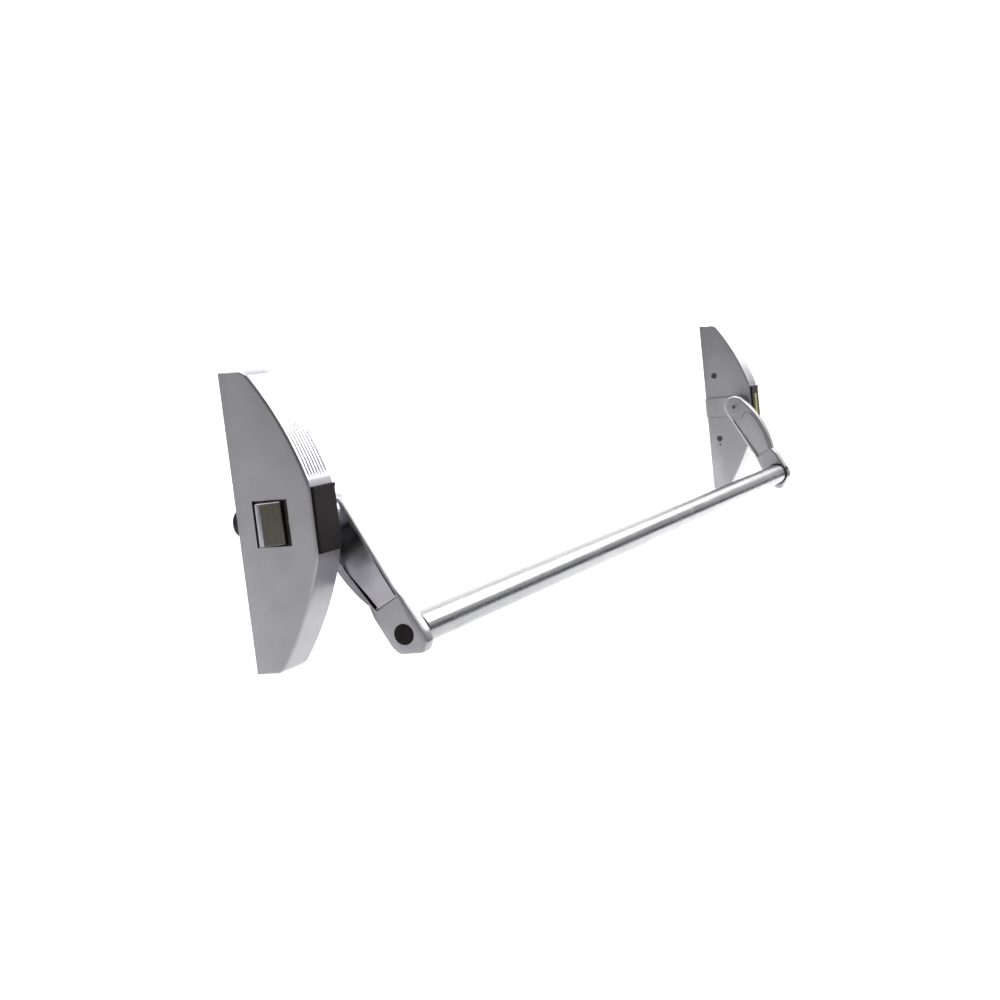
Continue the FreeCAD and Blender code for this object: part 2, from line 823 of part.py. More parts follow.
def arm_face_recess(side):
    """Outline of the shallow recess on the tube side, with an S-shaped step under the hub."""
    return across_arm(
        side,
        (-9.4, -d.panel_low),
        (9.6, -d.panel_low),
        (16.2, -24, 112, True),
        (12.2, -14),
        (3, -16.6, 12, True),
        (-3, -16.6),
        (-11, -14.4),
    )


def arm(side):
    """Cast arm with a hub for the shaft, hollows on both faces and a socket for the tube."""
    body = new_body(f"{SIDE_NAMES[side]}_arm")
    across_case(body, "blade", side, ARM_NEAR, ARM_FAR, arm_outline(side))
    near_x = ARM_NEAR.value * side
    far_x = ARM_FAR.value * side

    def lower_corner(middle):
        return abs(abs(middle.x) - (ARM_NEAR.value + ARM_FAR.value) / 2) < 0.01 and middle.z < -60

    def case_side_edge(middle):
        return abs(middle.x - near_x) < 0.01

    def tube_side_edge(middle):
        return abs(middle.x - far_x) < 0.01

    soften(body, "soft_corners", d.corner_round, lower_corner)
    soften(body, "case_side_rounding", d.arm_near_round, case_side_edge)
    soften(body, "tube_side_rounding", d.arm_far_round, tube_side_edge)
    across_case(body, "hub", side, HUB_NEAR, ARM_NEAR + 2, circle(0, 0, d.arm_hub_radius))
    bow_start = -d.ramp_bow if side == LATCH else -d.ramp_straight
    hollow_width = d.ramp_bow + d.ramp_straight
    extrude(body, "ramp", "XZ_Plane", bow_start, hollow_width, arm_ramp(side), cut=True)
    for slit in arm_slits(side):
        across_case(body, "slit", side, ARM_NEAR - 1, ARM_NEAR + d.slit_depth, slit, cut=True)
    recess = arm_face_recess(side)
    across_case(body, "face_recess", side, ARM_FAR - d.panel_shallow, ARM_FAR + 1, recess, cut=True)
    panel = arm_panel(side)
    extrude(body, "panel", "XZ_Plane", -d.panel_half_width, d.panel_half_width * 2, panel, cut=True)
    foot = -d.arm_length
    bore = circle(0, 0, d.shaft_radius)
    across_case(body, "shaft_bore", side, HUB_NEAR - 1, BORE_FAR, bore, cut=True)
    screw_hole = circle(0, 0, d.pivot_screw_radius + d.fit_gap)
    across_case(body, "screw_hole", side, BORE_FAR - 1, ARM_FAR + 1, screw_hole, cut=True)
    washer_sink = circle(0, 0, d.washer_radius + d.fit_gap)
    across_case(body, "washer_sink", side, WASHER_NEAR, ARM_FAR + 1, washer_sink, cut=True)
    socket = circle(0, foot, d.tube_radius + d.socket_gap)
    across_case(body, "tube_socket", side, SOCKET_NEAR, ARM_FAR + 1, socket, cut=True)
    clamp_hole = circle(0, foot, d.clamp_radius + d.fit_gap)
    across_case(body, "clamp_hole", side, ARM_NEAR + 1, SOCKET_NEAR + 1, clamp_hole, cut=True)
    clamp_sink = circle(0, foot, d.cap_radius + 0.1)
    across_case(body, "clamp_sink", side, ARM_NEAR - 1, CLAMP_HEAD_FAR, clamp_sink, cut=True)
    middle = (SOCKET_NEAR + ARM_FAR) / 2
    middle = middle if side == LATCH else -middle
    start = -d.tube_radius - 8 if side == LATCH else d.tube_radius
    grub_hole = circle(middle, foot, d.grub_radius)
    extrude(body, "grub_hole", "XZ_Plane", start, 8, grub_hole, cut=True)
    place_on_pivot(body, side, -d.rest_angle.value)


def arm_fittings(side):
    """Screws, washer, cap, plug, collar and grub screw of one arm."""
    name = SIDE_NAMES[side]
    foot = -d.arm_length
    rest = -d.rest_angle.value
    disc = rod("disc", side, WASHER_NEAR, ARM_FAR, d.washer_radius)
    hole = rod("hole", side, WASHER_NEAR - 1, ARM_FAR + 1, d.pivot_screw_radius + d.fit_gap)
    washer = less("washer", disc, hole)
    place_on_pivot(keep(washer, f"{name}_pivot_washer"), side, rest)
    pivot_screw = screw(
        "pivot_screw",
        side,
        ARM_FAR,
        ARM_FAR + 1.5,
        d.pivot_screw_head,
        BORE_FAR - 11,
        d.pivot_screw_radius,
        2.9,
    )
    place_on_pivot(keep(pivot_screw, f"{name}_pivot_screw"), side, rest)
    clamp_screw = screw(
        "clamp_screw",
        side,
        -CLAMP_HEAD_FAR,
        -CLAMP_HEAD_NEAR,
        d.clamp_head_radius,
        -(CLAMP_HEAD_FAR + d.clamp_length),
        d.clamp_radius,
        3.4,
        0,
        foot,
    )
    flip_fastener(keep(clamp_screw, f"{name}_clamp_screw"), side, rest)
    disc = rod("disc", side, CAP_NEAR, CLAMP_HEAD_NEAR, d.cap_radius, 0, foot)
    stub = rod("stub", side, CLAMP_HEAD_NEAR, CLAMP_HEAD_NEAR + 1, d.cap_stub_radius, 0, foot)
    cap = joined("cap", disc, stub)
    place_on_pivot(keep(cap, f"{name}_end_cap"), side, rest)
    plug = rod("plug", side, SOCKET_NEAR, SOCKET_NEAR + d.plug_length, d.tube_radius - d.tube_wall, 0, foot)
    thread = rod("thread", side, SOCKET_NEAR - 1, SOCKET_NEAR + d.plug_length + 1, d.clamp_radius, 0, foot)
    bar_plug = less("bar_plug", plug, thread)
    place_on_pivot(keep(bar_plug, f"{name}_bar_plug"), side, rest)
    ring = rod("ring", side, ARM_FAR, ARM_FAR + d.collar_thick, d.collar_radius, 0, foot)
    bore = rod("bore", side, ARM_FAR - 1, ARM_FAR + 5, d.tube_radius, 0, foot)
    collar = less("collar", ring, bore)
    place_on_pivot(keep(collar, f"{name}_bar_collar"), side, rest)
    middle = (SOCKET_NEAR + ARM_FAR) / 2
    outer = d.arm_half_width + d.grub_proud
    near, far = (-outer, -d.tube_radius) if side == LATCH else (d.tube_radius, outer)
    stem = cross_rod("stem", near, far, d.grub_radius, side, middle, foot)
    key = doc.addObject("Part::Prism", "key")
    key.Polygon = 6
    bind(key, "Circumradius", d.grub_radius * 0.6)
    bind(key, "Height", 3)
    key.Placement.Rotation = FreeCAD.Rotation(FreeCAD.Vector(1, 0, 0), 90)
    bind(key, "Placement.Base.x", middle if side == LATCH else -middle)
    bind(key, "Placement.Base.y", outer + 1 if side == LATCH else -(outer - 2))
    bind(key, "Placement.Base.z", foot)
    place_on_pivot(keep(less("grub_screw", stem, key), f"{name}_grub_screw"), side, rest)


def flip_fastener(node, side, angle):
    """Place a fastener that was drawn mirrored, with its head towards the case."""
    turn = FreeCAD.Rotation(FreeCAD.Vector(1, 0, 0), angle)
    mirror = FreeCAD.Rotation(FreeCAD.Vector(0, 0, 1), 180)
    base = FreeCAD.Vector(case_x(side), -d.pivot_depth.value, 0)
    node.Placement = FreeCAD.Placement(base, turn.multiply(mirror))


def push_tube():
    """Round tube from socket to socket."""
    outer = rod("outer", LATCH, SOCKET_NEAR, d.case_spacing - SOCKET_NEAR, d.tube_radius, 0, -d.arm_length)
    inner_radius = d.tube_radius - d.tube_wall
    inner = rod("inner", LATCH, SOCKET_NEAR - 1, d.case_spacing, inner_radius, 0, -d.arm_length)
    tube = less("tube", outer, inner)
    place_on_pivot(keep(tube, "push_bar_tube"), LATCH, -d.rest_angle.value)


# ---------------------------------------------------------------- latch mechanism

LEVER_FAR = d.lever_start + d.lever_thick
NOSE_REST = -d.slide_lift / 2
SLIDE_FRONT = d.slide_back + d.slide_thick


def shaft_lever():
    """Lever on the latch shaft, drawn pointing into the door, with a round nose."""
    body = new_body("shaft_lever")
    across_case(body, "hub", LATCH, d.lever_start, LEVER_FAR, circle(0, 0, d.lever_hub_radius))
    web = rectangle(0, -d.lever_half_width, d.lever_radius, d.lever_half_width)
    across_case(body, "web", LATCH, d.lever_start, LEVER_FAR, web)
    nose = circle(d.lever_radius, 0, d.lever_nose_radius)
    across_case(body, "nose", LATCH, d.lever_start, LEVER_FAR, nose)
    bore = circle(0, 0, d.shaft_radius)
    across_case(body, "bore", LATCH, d.lever_start - 1, LEVER_FAR + 1, bore, cut=True)
    place_on_pivot(body, LATCH, -d.swing.value / 2)


def latch_slide():
    """Plate that the lever lifts: a sloping slot drives the bolt, two upright slots guide it."""
    body = new_body("latch_slide")
    wide = d.slide_half_width
    plate = rectangle(-wide, -d.slide_bottom, wide, d.slide_top)
    extrude(body, "plate", "XZ_Plane", d.slide_back, d.slide_thick, plate)
    tongue = rectangle(
        -d.tongue_half_width, d.slide_top - 1, d.tongue_half_width, d.slide_top + d.tongue_length
    )
    extrude(body, "tongue", "XZ_Plane", d.slide_back, d.slide_thick, tongue)
    drive = slot(
        (-d.drive_pin_u, d.drive_pin_z),
        (d.bolt_throw - d.drive_pin_u, d.drive_pin_z - d.slide_lift),
        d.drive_pin_radius + d.slot_gap,
    )
    cut_through_slide(body, "drive_slot", drive)
    for height in (d.upper_post_z, -d.lower_post_z):
        guide = slot((0, height - d.slide_lift), (0, height), d.post_radius + d.slot_gap)
        cut_through_slide(body, "guide_slot", guide)
    reach = d.lever_nose_radius + d.crank_gap
    notch = rectangle(d.lever_start - 0.6, NOSE_REST - reach, wide + 1, NOSE_REST + reach)
    cut_through_slide(body, "lever_notch", notch)
    reach = d.crank_pin_radius + d.crank_gap
    notch = rectangle(-wide - 1, NOSE_REST - reach, reach - d.crank_u, NOSE_REST + reach)
    cut_through_slide(body, "crank_notch", notch)


def cut_through_slide(body, name, draw):
    extrude(body, name, "XZ_Plane", d.slide_back - 1, d.slide_thick + 2, draw, cut=True)


def guide_posts():
    """Two headed posts on the base plate that the slide runs on."""
    posts = []
    neck = SLIDE_FRONT + 0.6
    for height in (d.upper_post_z, -d.lower_post_z):
        stem = cross_rod("stem", d.plate_thick, neck, d.post_radius, LATCH, 0, height)
        head = cross_rod("head", neck, neck + d.post_head_thick, d.post_head_radius, LATCH, 0, height)
        posts.append(joined("post", stem, head))
    group = doc.addObject("Part::Compound", "guide_posts")
    group.Links = posts
    keep(group, "slide_guide_posts")


def latch_bolt():
    """Latch bolt with a flat tip behind and a slope that the closing door's strike pushes in."""
    body = new_body("latch_bolt")
    tip = -HALF_WIDTH - d.bolt_throw
    plan = outline(
        (-d.bolt_tail, -d.bolt_back),
        (tip, -d.bolt_back),
        (tip, -(d.bolt_back + d.bolt_tip_flat)),
        (-HALF_WIDTH - d.bolt_front_reach, -d.bolt_front),
        (-d.bolt_tail, -d.bolt_front),
    )
    extrude(body, "wedge", "XY_Plane", -d.bolt_half_height, d.bolt_half_height * 2, plan)
    hole = circle(-d.drive_pin_u, d.drive_pin_z, d.drive_pin_radius)
    extrude(body, "pin_hole", "XZ_Plane", d.bolt_back - 1, 12, hole, cut=True)


def bolt_guide():
    """Channel that holds the bolt on three sides."""
    body = new_body("bolt_guide")
    gap, wall = d.guide_gap, d.guide_wall
    near, far = -FLANGE_IN, d.bolt_throw - d.bolt_tail
    outside = rectangle(
        -d.bolt_front - gap - wall,
        -d.bolt_half_height - gap - wall,
        -SLIDE_FRONT - 0.7,
        d.bolt_half_height + gap + wall,
    )
    across_case(body, "channel", LATCH, near, far, outside)
    inside = rectangle(
        -d.bolt_front - gap, -d.bolt_half_height - gap, -d.slide_back, d.bolt_half_height + gap
    )
    across_case(body, "way", LATCH, near - 1, far + 1, inside, cut=True)


def spindle_follower():
    """Hub for an outside handle's square spindle; its crank pin moves with the slide."""
    body = new_body("spindle_follower")
    disc = circle(0, 0, d.follower_radius)
    extrude(body, "disc", "XZ_Plane", d.follower_back, d.follower_front - d.follower_back, disc)
    boss = circle(0, 0, d.boss_radius)
    extrude(body, "boss", "XZ_Plane", -d.boss_proud, d.boss_proud + d.follower_back + 1, boss)
    half = d.spindle_half
    square = rectangle(-half, -half, half, half)
    extrude(body, "square", "XZ_Plane", -d.boss_proud - 1, 25, square, cut=True)
    hole = circle(-d.crank_u, NOSE_REST, d.crank_pin_radius)
    extrude(body, "pin_hole", "XZ_Plane", d.follower_front - 4, 6, hole, cut=True)


def mechanism_pins():
    """Bolt drive pin and follower crank pin, both along Y."""
    drive = cross_rod(
        "drive_pin",
        d.slide_back - 0.7,
        d.bolt_back + 11,
        d.drive_pin_radius,
        LATCH,
        -d.drive_pin_u,
        d.drive_pin_z,
    )
    keep(drive, "bolt_drive_pin")
    crank = cross_rod(
        "crank_pin",
        d.follower_front - 4,
        SLIDE_FRONT + 0.5,
        d.crank_pin_radius,
        LATCH,
        -d.crank_u,
        NOSE_REST,
    )
    keep(crank, "follower_crank_pin")


# ---------------------------------------------------------------- springs


def coil(name, radius, wire, pitch, height, spot, rotation):
    """Round wire wound along a helix."""
    spine = doc.addObject("Part::Helix", name + "_spine")
    bind(spine, "Radius", radius)
    bind(spine, "Pitch", pitch)
    bind(spine, "Height", height)
    section = doc.addObject("Part::Circle", name + "_section")
    bind(section, "Radius", wire)
    bind(section, "Placement.Base.x", radius)
    section.Placement.Rotation = FreeCAD.Rotation(FreeCAD.Vector(1, 0, 0), 90)
    doc.recompute()
    sweep = doc.addObject("Part::Sweep", name)
    sweep.Sections = [section]
    sweep.Spine = (spine, [f"Edge{number + 1}" for number in range(len(spine.Shape.Edges))])
    sweep.Solid = True
    sweep.Frenet = True
    sweep.Placement = FreeCAD.Placement(FreeCAD.Vector(*spot), rotation)
    return sweep


def lift_spring():
    """Compression spring between the slide and its seat; it holds the bolt out."""
    length = d.lift_spring_top - d.slide_top - d.lift_spring_wire * 2
    pitch = length / d.lift_spring_turns
    middle = -(d.slide_back + d.slide_thick / 2).value
    spot = (0, middle, (d.slide_top + d.lift_spring_wire).value)
    spring = coil(
        "lift_spring", d.lift_spring_radius, d.lift_spring_wire, pitch, length, spot, FreeCAD.Rotation()
    )
    keep(spring, "slide_spring")


def spring_seat():
    """Bracket on the base plate with a peg inside the spring's upper end."""
    body = new_body("spring_seat")
    wide = d.seat_half_width
    middle = -(d.slide_back + d.slide_thick / 2)
    shelf = rectangle(-wide, middle - 6, wide, -d.plate_thick)
    extrude(body, "shelf", "XY_Plane", d.lift_spring_top, d.seat_thick, shelf)
    foot = rectangle(-wide, -(d.plate_thick + 2.5), wide, -d.plate_thick)
    extrude(body, "foot", "XY_Plane", d.lift_spring_top - d.peg_length, d.peg_length + 1, foot)
    peg = circle(0, middle, d.peg_radius)
    extrude(body, "peg", "XY_Plane", d.lift_spring_top - d.peg_length, d.peg_length + 1, peg)


def return_spring():
    """Torsion spring round the hinge shaft, with a leg along the base plate's anchor."""
    length = d.coil_half_length * 2
    pitch = length / d.coil_turns
    spot = (-d.coil_half_length.value, 0, 0)
    turn = FreeCAD.Rotation(FreeCAD.Vector(0, 1, 0), 90)
    wound = coil("torsion_coil", d.coil_radius, d.coil_wire, pitch, length, spot, turn)
    legs = []
    for name, x in (("fixed_leg", d.coil_half_length), ("free_leg", -d.coil_half_length)):
        leg = doc.addObject("Part::Cylinder", name)
        bind(leg, "Radius", d.coil_wire)
        bind(leg, "Height", d.coil_leg if name == "fixed_leg" else d.coil_leg / 4)
        leg.Placement.Rotation = FreeCAD.Rotation(FreeCAD.Vector(1, 0, 0), -90)
        bind(leg, "Placement.Base.x", x)
        bind(leg, "Placement.Base.z", -d.coil_radius)
        legs.append(leg)
    spring = joined("return_spring", wound, *legs)
    place_on_pivot(keep(spring, "return_spring"), HINGE)


def spring_anchor():
    """Block on the hinge base plate that holds the fixed leg of the return spring."""
    body = new_body("spring_anchor")
    low = -d.coil_radius - d.coil_wire - 4
    x = d.coil_half_length
    block = rectangle(x - d.anchor_half_width, low, x + d.anchor_half_width, -d.coil_radius - d.coil_wire)
    extrude(body, "block", "XZ_Plane", d.plate_thick, 14, block)
    place_in_case(body, HINGE)


def spring_collar():
    """Collar on the hinge shaft that keeps the return spring in its place."""
    body = new_body("spring_collar")
    disc = circle(0, 0, d.lever_hub_radius)
    across_case(body, "disc", HINGE, d.lever_start, LEVER_FAR, disc)
    bore = circle(0, 0, d.shaft_radius)
    across_case(body, "bore", HINGE, d.lever_start - 1, LEVER_FAR + 1, bore, cut=True)
    place_on_pivot(body, HINGE)


# ---------------------------------------------------------------- build, check and write

for side in (LATCH, HINGE):
    case_cover(side)
    case_base(side)
    front_insert(side)
    cover_screws(side)
    shaft_bushes(side)
    pivot_shaft(side)
    arm(side)
    arm_fittings(side)
push_tube()
shaft_lever()
latch_slide()
guide_posts()
latch_bolt()
bolt_guide()
spindle_follower()
mechanism_pins()
lift_spring()
spring_seat()
return_spring()
spring_anchor()
spring_collar()
marker_strip()
doc.recompute()

for item in doc.Objects:
    faults = [state for state in item.State if state in ("Invalid", "Error")]
    if faults:
        raise RuntimeError(f"{item.Label}: {faults}")

os.makedirs("parts", exist_ok=True)
for node in NODES:
    if node.Shape.isNull() or not node.Shape.isValid():
        raise RuntimeError(f"{node.Label} has no valid shape")
    node.Shape.exportStep(f"parts/{node.Label}.step")
    size = node.Shape.BoundBox
    print(f"{node.Label}: {len(node.Shape.Solids)} solid(s), {node.Shape.Volume:.0f} mm3, "
          f"{size.XLength:.1f} x {size.YLength:.1f} x {size.ZLength:.1f} mm")
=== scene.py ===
import json
import math

import bmesh
import bpy
from mathutils import Matrix, Vector


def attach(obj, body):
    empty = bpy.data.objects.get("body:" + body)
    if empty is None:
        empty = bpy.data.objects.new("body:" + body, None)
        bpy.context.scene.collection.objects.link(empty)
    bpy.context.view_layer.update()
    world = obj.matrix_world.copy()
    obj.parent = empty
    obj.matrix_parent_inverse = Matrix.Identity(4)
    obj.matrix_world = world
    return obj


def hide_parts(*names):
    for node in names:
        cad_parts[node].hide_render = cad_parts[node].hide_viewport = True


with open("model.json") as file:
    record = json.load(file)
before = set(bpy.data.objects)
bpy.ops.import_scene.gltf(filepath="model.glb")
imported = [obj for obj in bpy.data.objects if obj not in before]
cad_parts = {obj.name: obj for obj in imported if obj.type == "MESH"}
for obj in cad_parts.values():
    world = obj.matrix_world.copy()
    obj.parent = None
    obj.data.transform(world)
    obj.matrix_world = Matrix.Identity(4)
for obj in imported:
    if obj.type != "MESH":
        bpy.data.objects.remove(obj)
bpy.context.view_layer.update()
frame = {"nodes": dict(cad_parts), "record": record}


# ---------------------------------------------------------------- sizes in millimetres

MM = 0.001

# Cases: the hinge case is the latch case turned about, at the other end of the bar.
SIDES = {"latch": 1, "hinge": -1}
SPACING = 1130
HALF_HEIGHT, HALF_WIDTH = 109, 17
CASE_DEPTH, END_DEPTH, FRONT_HALF = 62, 20, 25
SLOPE_RADIUS = 247
CORNER_RUN, CORNER_TURN = 2.5, 0.8      # left out beside each end of a slope, in mm and degrees
RIM_RADIUS = 1.8
WALL = 2
INSERT_FLOOR, INSERT_HALF = 58.5, 24
PIVOT = 46
BORE_RADIUS = 8.1

# Flutes of the upper slope: from the insert up, fading towards the top.
FLUTE_PITCH, FLUTE_DEPTH, FLUTED_HALF = 4, 0.3, 12
FLUTE_START, FLUTE_END, FLUTE_FADE = 30, 105, 60

# Raised band and bearing boss on the side, with a cap and a groove round it.
BAND_RADIUS, BAND_PROUD = 12.5, 20.6
CAP_RADIUS, CAP_PROUD = 12.1, 21
GROOVE_RADIUS, GROOVE_FLOOR = 13.6, 15.5

# Holes of the cover screws and the pilot hole below them.
SCREW_BACK, SCREW_HEIGHT, SCREW_RADIUS, HEAD_RADIUS = 14, 42, 2.2, 4
PILOT_HEIGHT, PILOT_RADIUS = -50, 1.3

# Bolt and its opening.
OPENING_FRONT, OPENING_BACK, OPENING_HALF = 42.5, 14, 16.8
BOLT_TIP, BOLT_REAR, BOLT_HALF = 27, 5.4, 15.5
BOLT_BACK, BOLT_NOSE, BOLT_FRONT, BOLT_SLOPE = 22, 25, 37.5, 17.6
BOLT_RIM = 0.9

# Arms: depth runs from the case side, b towards the bowed edge, z up from the shaft.
ARM_NEAR, ARM_THICK, ARM_LENGTH = 31, 13, 105
REST_ANGLE = 28.6
ARM_TOP, FOOT_HALF, FOOT_TOP, ARM_ROUNDING = 14, 14.3, -82, 2.2
NECK_Z, NECK_LOW, NECK_HIGH = -73, -12.8, 12.3
BOW_TOP, BOW_RADIUS = (13.2, 4.8), 110.4
HUB_RADIUS, HUB_PROUD = 12.5, 7
SHAFT_RADIUS, SHAFT_END = 6, 7
PIVOT_SCREW_RADIUS, WASHER_RADIUS, WASHER_SUNK = 3.2, 7.6, 1.2
TUBE_RADIUS, TUBE_GAP, SOCKET_DEPTH = 12.5, 0.05, 7
CLAMP_RADIUS, END_CAP_RADIUS, END_CAP_DEPTH = 4.2, 8, 3.5
GRUB_RADIUS, GRUB_PLACE = 2.5, 9.5
STRAP_FOOT, STRAP_ROOT, EDGE_RUN = -79, -13, 65
SLIT_FOOT, SLIT_LENGTH, SLIT_WIDTH, SLIT_BESIDE, SLIT_DEPTH = -77.5, 39, 1.9, 0.4, 8.5
STEP_WIDTH, STEP_DEPTH = 1, 4.4
FIELD_DEPTH, FIELD_SUNK, FIELD_GROOVE, FIELD_ROUNDING = 2.8, 0.7, 4, 1.2
PANEL_LOW, PANEL_HIGH = -8, 8.2


# ---------------------------------------------------------------- materials

EVEN = (1, 1, 1)


def new_material(name):
    """Material with a plain shader, and its node tree."""
    material = bpy.data.materials.new(name)
    material.use_nodes = True
    tree = material.node_tree
    tree.nodes.clear()
    output = tree.nodes.new("ShaderNodeOutputMaterial")
    shader = tree.nodes.new("ShaderNodeBsdfPrincipled")
    tree.links.new(shader.outputs["BSDF"], output.inputs["Surface"])
    return material, tree, shader


def coordinates(tree, stretch):
    """Object coordinates scaled along each axis."""
    source = tree.nodes.new("ShaderNodeTexCoord")
    mapping = tree.nodes.new("ShaderNodeMapping")
    mapping.inputs["Scale"].default_value = stretch
    tree.links.new(source.outputs["Object"], mapping.inputs["Vector"])
    return mapping.outputs["Vector"]


def noise(tree, vector, scale, detail, roughness=0.5):
    """Factor of a noise texture."""
    node = tree.nodes.new("ShaderNodeTexNoise")
    node.inputs["Scale"].default_value = scale
    node.inputs["Detail"].default_value = detail
    node.inputs["Roughness"].default_value = roughness
    tree.links.new(vector, node.inputs["Vector"])
    return node.outputs["Fac"]


def ramp(tree, factor, low, high, start=0.35, end=0.65):
    """Colour that runs from low at the start of a factor to high at its end."""
    node = tree.nodes.new("ShaderNodeValToRGB")
    node.color_ramp.elements[0].position = start
    node.color_ramp.elements[0].color = (*low, 1)
    node.color_ramp.elements[1].position = end
    node.color_ramp.elements[1].color = (*high, 1)
    tree.links.new(factor, node.inputs["Fac"])
    return node.outputs["Color"]


def span(tree, value, low, high, start=0.3, end=0.7):
    """Number that runs from low at the start of a value to high at its end."""
    node = tree.nodes.new("ShaderNodeMapRange")
    node.inputs["From Min"].default_value = start
    node.inputs["From Max"].default_value = end
    node.inputs["To Min"].default_value = low
    node.inputs["To Max"].default_value = high
    tree.links.new(value, node.inputs["Value"])
    return node.outputs["Result"]


def bump(tree, shader, heights):
    """Chain of bumps, each (height output, distance, strength)."""
    normal = None
    for height, distance, strength in heights:
        node = tree.nodes.new("ShaderNodeBump")
        node.inputs["Strength"].default_value = strength
        node.inputs["Distance"].default_value = distance
        tree.links.new(height, node.inputs["Height"])
        if normal is not None:
            tree.links.new(normal, node.inputs["Normal"])
        normal = node.outputs["Normal"]
    tree.links.new(normal, shader.inputs["Normal"])


def tint(colour, factor):
    """Colour made lighter or darker."""
    return tuple(min(1.0, channel * factor) for channel in colour)


def coated_metal(name, colour, metallic, rough):
    """Satin enamel over a casting: soft mottling, fine grit and a faint orange peel."""
    material, tree, shader = new_material(name)
    plain = coordinates(tree, EVEN)
    cloud = noise(tree, plain, 45, 4)
    grit = noise(tree, plain, 2600, 2)
    peel = noise(tree, plain, 420, 2)
    shade = ramp(tree, cloud, tint(colour, 0.95), tint(colour, 1.04))
    tree.links.new(shade, shader.inputs["Base Color"])
    tree.links.new(span(tree, grit, rough - 0.05, rough + 0.06), shader.inputs["Roughness"])
    shader.inputs["Metallic"].default_value = metallic
    bump(tree, shader, [(peel, 0.00006, 0.25), (grit, 0.00002, 0.25)])
    return material


def brushed_metal(name, colour, rough, stretch, depth=0.00001):
    """Fine grain drawn out along one axis, with faint wear and handling marks."""
    material, tree, shader = new_material(name)
    grain = noise(tree, coordinates(tree, stretch), 1, 6, 0.65)
    cloud = noise(tree, coordinates(tree, EVEN), 28, 3)
    shade = ramp(tree, grain, tint(colour, 0.88), tint(colour, 1.08))
    tree.links.new(shade, shader.inputs["Base Color"])
    mix = tree.nodes.new("ShaderNodeMath")
    mix.operation = "ADD"
    tree.links.new(span(tree, grain, rough - 0.05, rough + 0.05), mix.inputs[0])
    tree.links.new(span(tree, cloud, -0.03, 0.05), mix.inputs[1])
    tree.links.new(mix.outputs["Value"], shader.inputs["Roughness"])
    shader.inputs["Metallic"].default_value = 1.0
    bump(tree, shader, [(grain, depth, 0.5)])
    return material


def moulded_plastic(name, colour, rough):
    """Moulded plastic with a fine spark-eroded texture."""
    material, tree, shader = new_material(name)
    plain = coordinates(tree, EVEN)
    grit = noise(tree, plain, 2200, 3)
    cloud = noise(tree, plain, 60, 3)
    shade = ramp(tree, cloud, tint(colour, 0.85), tint(colour, 1.15))
    tree.links.new(shade, shader.inputs["Base Color"])
    tree.links.new(span(tree, grit, rough - 0.08, rough + 0.08), shader.inputs["Roughness"])
    shader.inputs["Specular IOR Level"].default_value = 0.15
    bump(tree, shader, [(grit, 0.00003, 0.35)])
    return material


def paint_shade_near_pivot(material, dark, start, end):
    """Darken the base colour around the pivot axis, as painted shade.

    Up to start metres from it the colour is scaled by dark, and beyond end it is unchanged.
    """
    tree = material.node_tree
    shader = next(node for node in tree.nodes if node.type == "BSDF_PRINCIPLED")
    colour = shader.inputs["Base Color"].links[0].from_socket
    axis = tree.nodes.new("ShaderNodeVectorMath")
    axis.operation = "ADD"
    tree.links.new(coordinates(tree, (0, 1, 1)), axis.inputs[0])
    axis.inputs[1].default_value = (0, PIVOT * MM, 0)
    radius = tree.nodes.new("ShaderNodeVectorMath")
    radius.operation = "LENGTH"
    tree.links.new(axis.outputs["Vector"], radius.inputs[0])
    shade = ramp(tree, radius.outputs["Value"], (dark,) * 3, (1, 1, 1), start, end)
    mix = tree.nodes.new("ShaderNodeVectorMath")
    mix.operation = "MULTIPLY"
    tree.links.new(colour, mix.inputs[0])
    tree.links.new(shade, mix.inputs[1])
    tree.links.new(mix.outputs["Vector"], shader.inputs["Base Color"])
    return material


MATERIALS = {
    "silver_paint": coated_metal("silver_paint", (0.40, 0.394, 0.420), 0.94, 0.33),
    "satin_tube": brushed_metal("satin_tube", (0.345, 0.345, 0.36), 0.25, (3, 900, 900)),
    "zinc_steel": brushed_metal("zinc_steel", (0.045, 0.042, 0.045), 0.38, (300, 300, 30)),
    "screw_steel": brushed_metal("screw_steel", (0.10, 0.10, 0.10), 0.28, (700, 700, 700)),
    # Pivot screws and washers: painted shade darkens the socket round the pivot axis.
    "pivot_steel_socket_shade": paint_shade_near_pivot(
        brushed_metal("pivot_steel_socket_shade", (0.40, 0.39, 0.41), 0.33, (700, 700, 700)),
        dark=0.02, start=0.0030, end=0.0036),
    # Hollow of the arm's case side: a lighter copy of the enamel as painted highlight, darkened by painted
    # shade towards its root near the hub.
    "scoop_painted_light": paint_shade_near_pivot(
        coated_metal("scoop_painted_light", (0.54, 0.53, 0.565), 0.94, 0.33),
        dark=0.10, start=0.030, end=0.047),
    "bolt_steel": brushed_metal("bolt_steel", (0.17, 0.16, 0.14), 0.36, (300, 300, 40)),
    # Lighter copy of bolt_steel: painted highlight on the bolt's tip and upper rim.
    "bolt_painted_highlight": brushed_metal("bolt_painted_highlight", (0.50, 0.49, 0.54), 0.3, (300, 300, 40)),
    "spring_steel": brushed_metal("spring_steel", (0.32, 0.32, 0.33), 0.3, (400, 400, 400)),
    "bronze": brushed_metal("bronze", (0.15, 0.115, 0.075), 0.4, (300, 500, 500)),
    "plug_aluminium": brushed_metal("plug_aluminium", (0.60, 0.60, 0.61), 0.32, (40, 500, 500)),
    "black_plastic": moulded_plastic("black_plastic", (0.012, 0.009, 0.011), 0.5),
    "strip_green": moulded_plastic("strip_green", (0.262, 0.266, 0.084), 0.5),
}

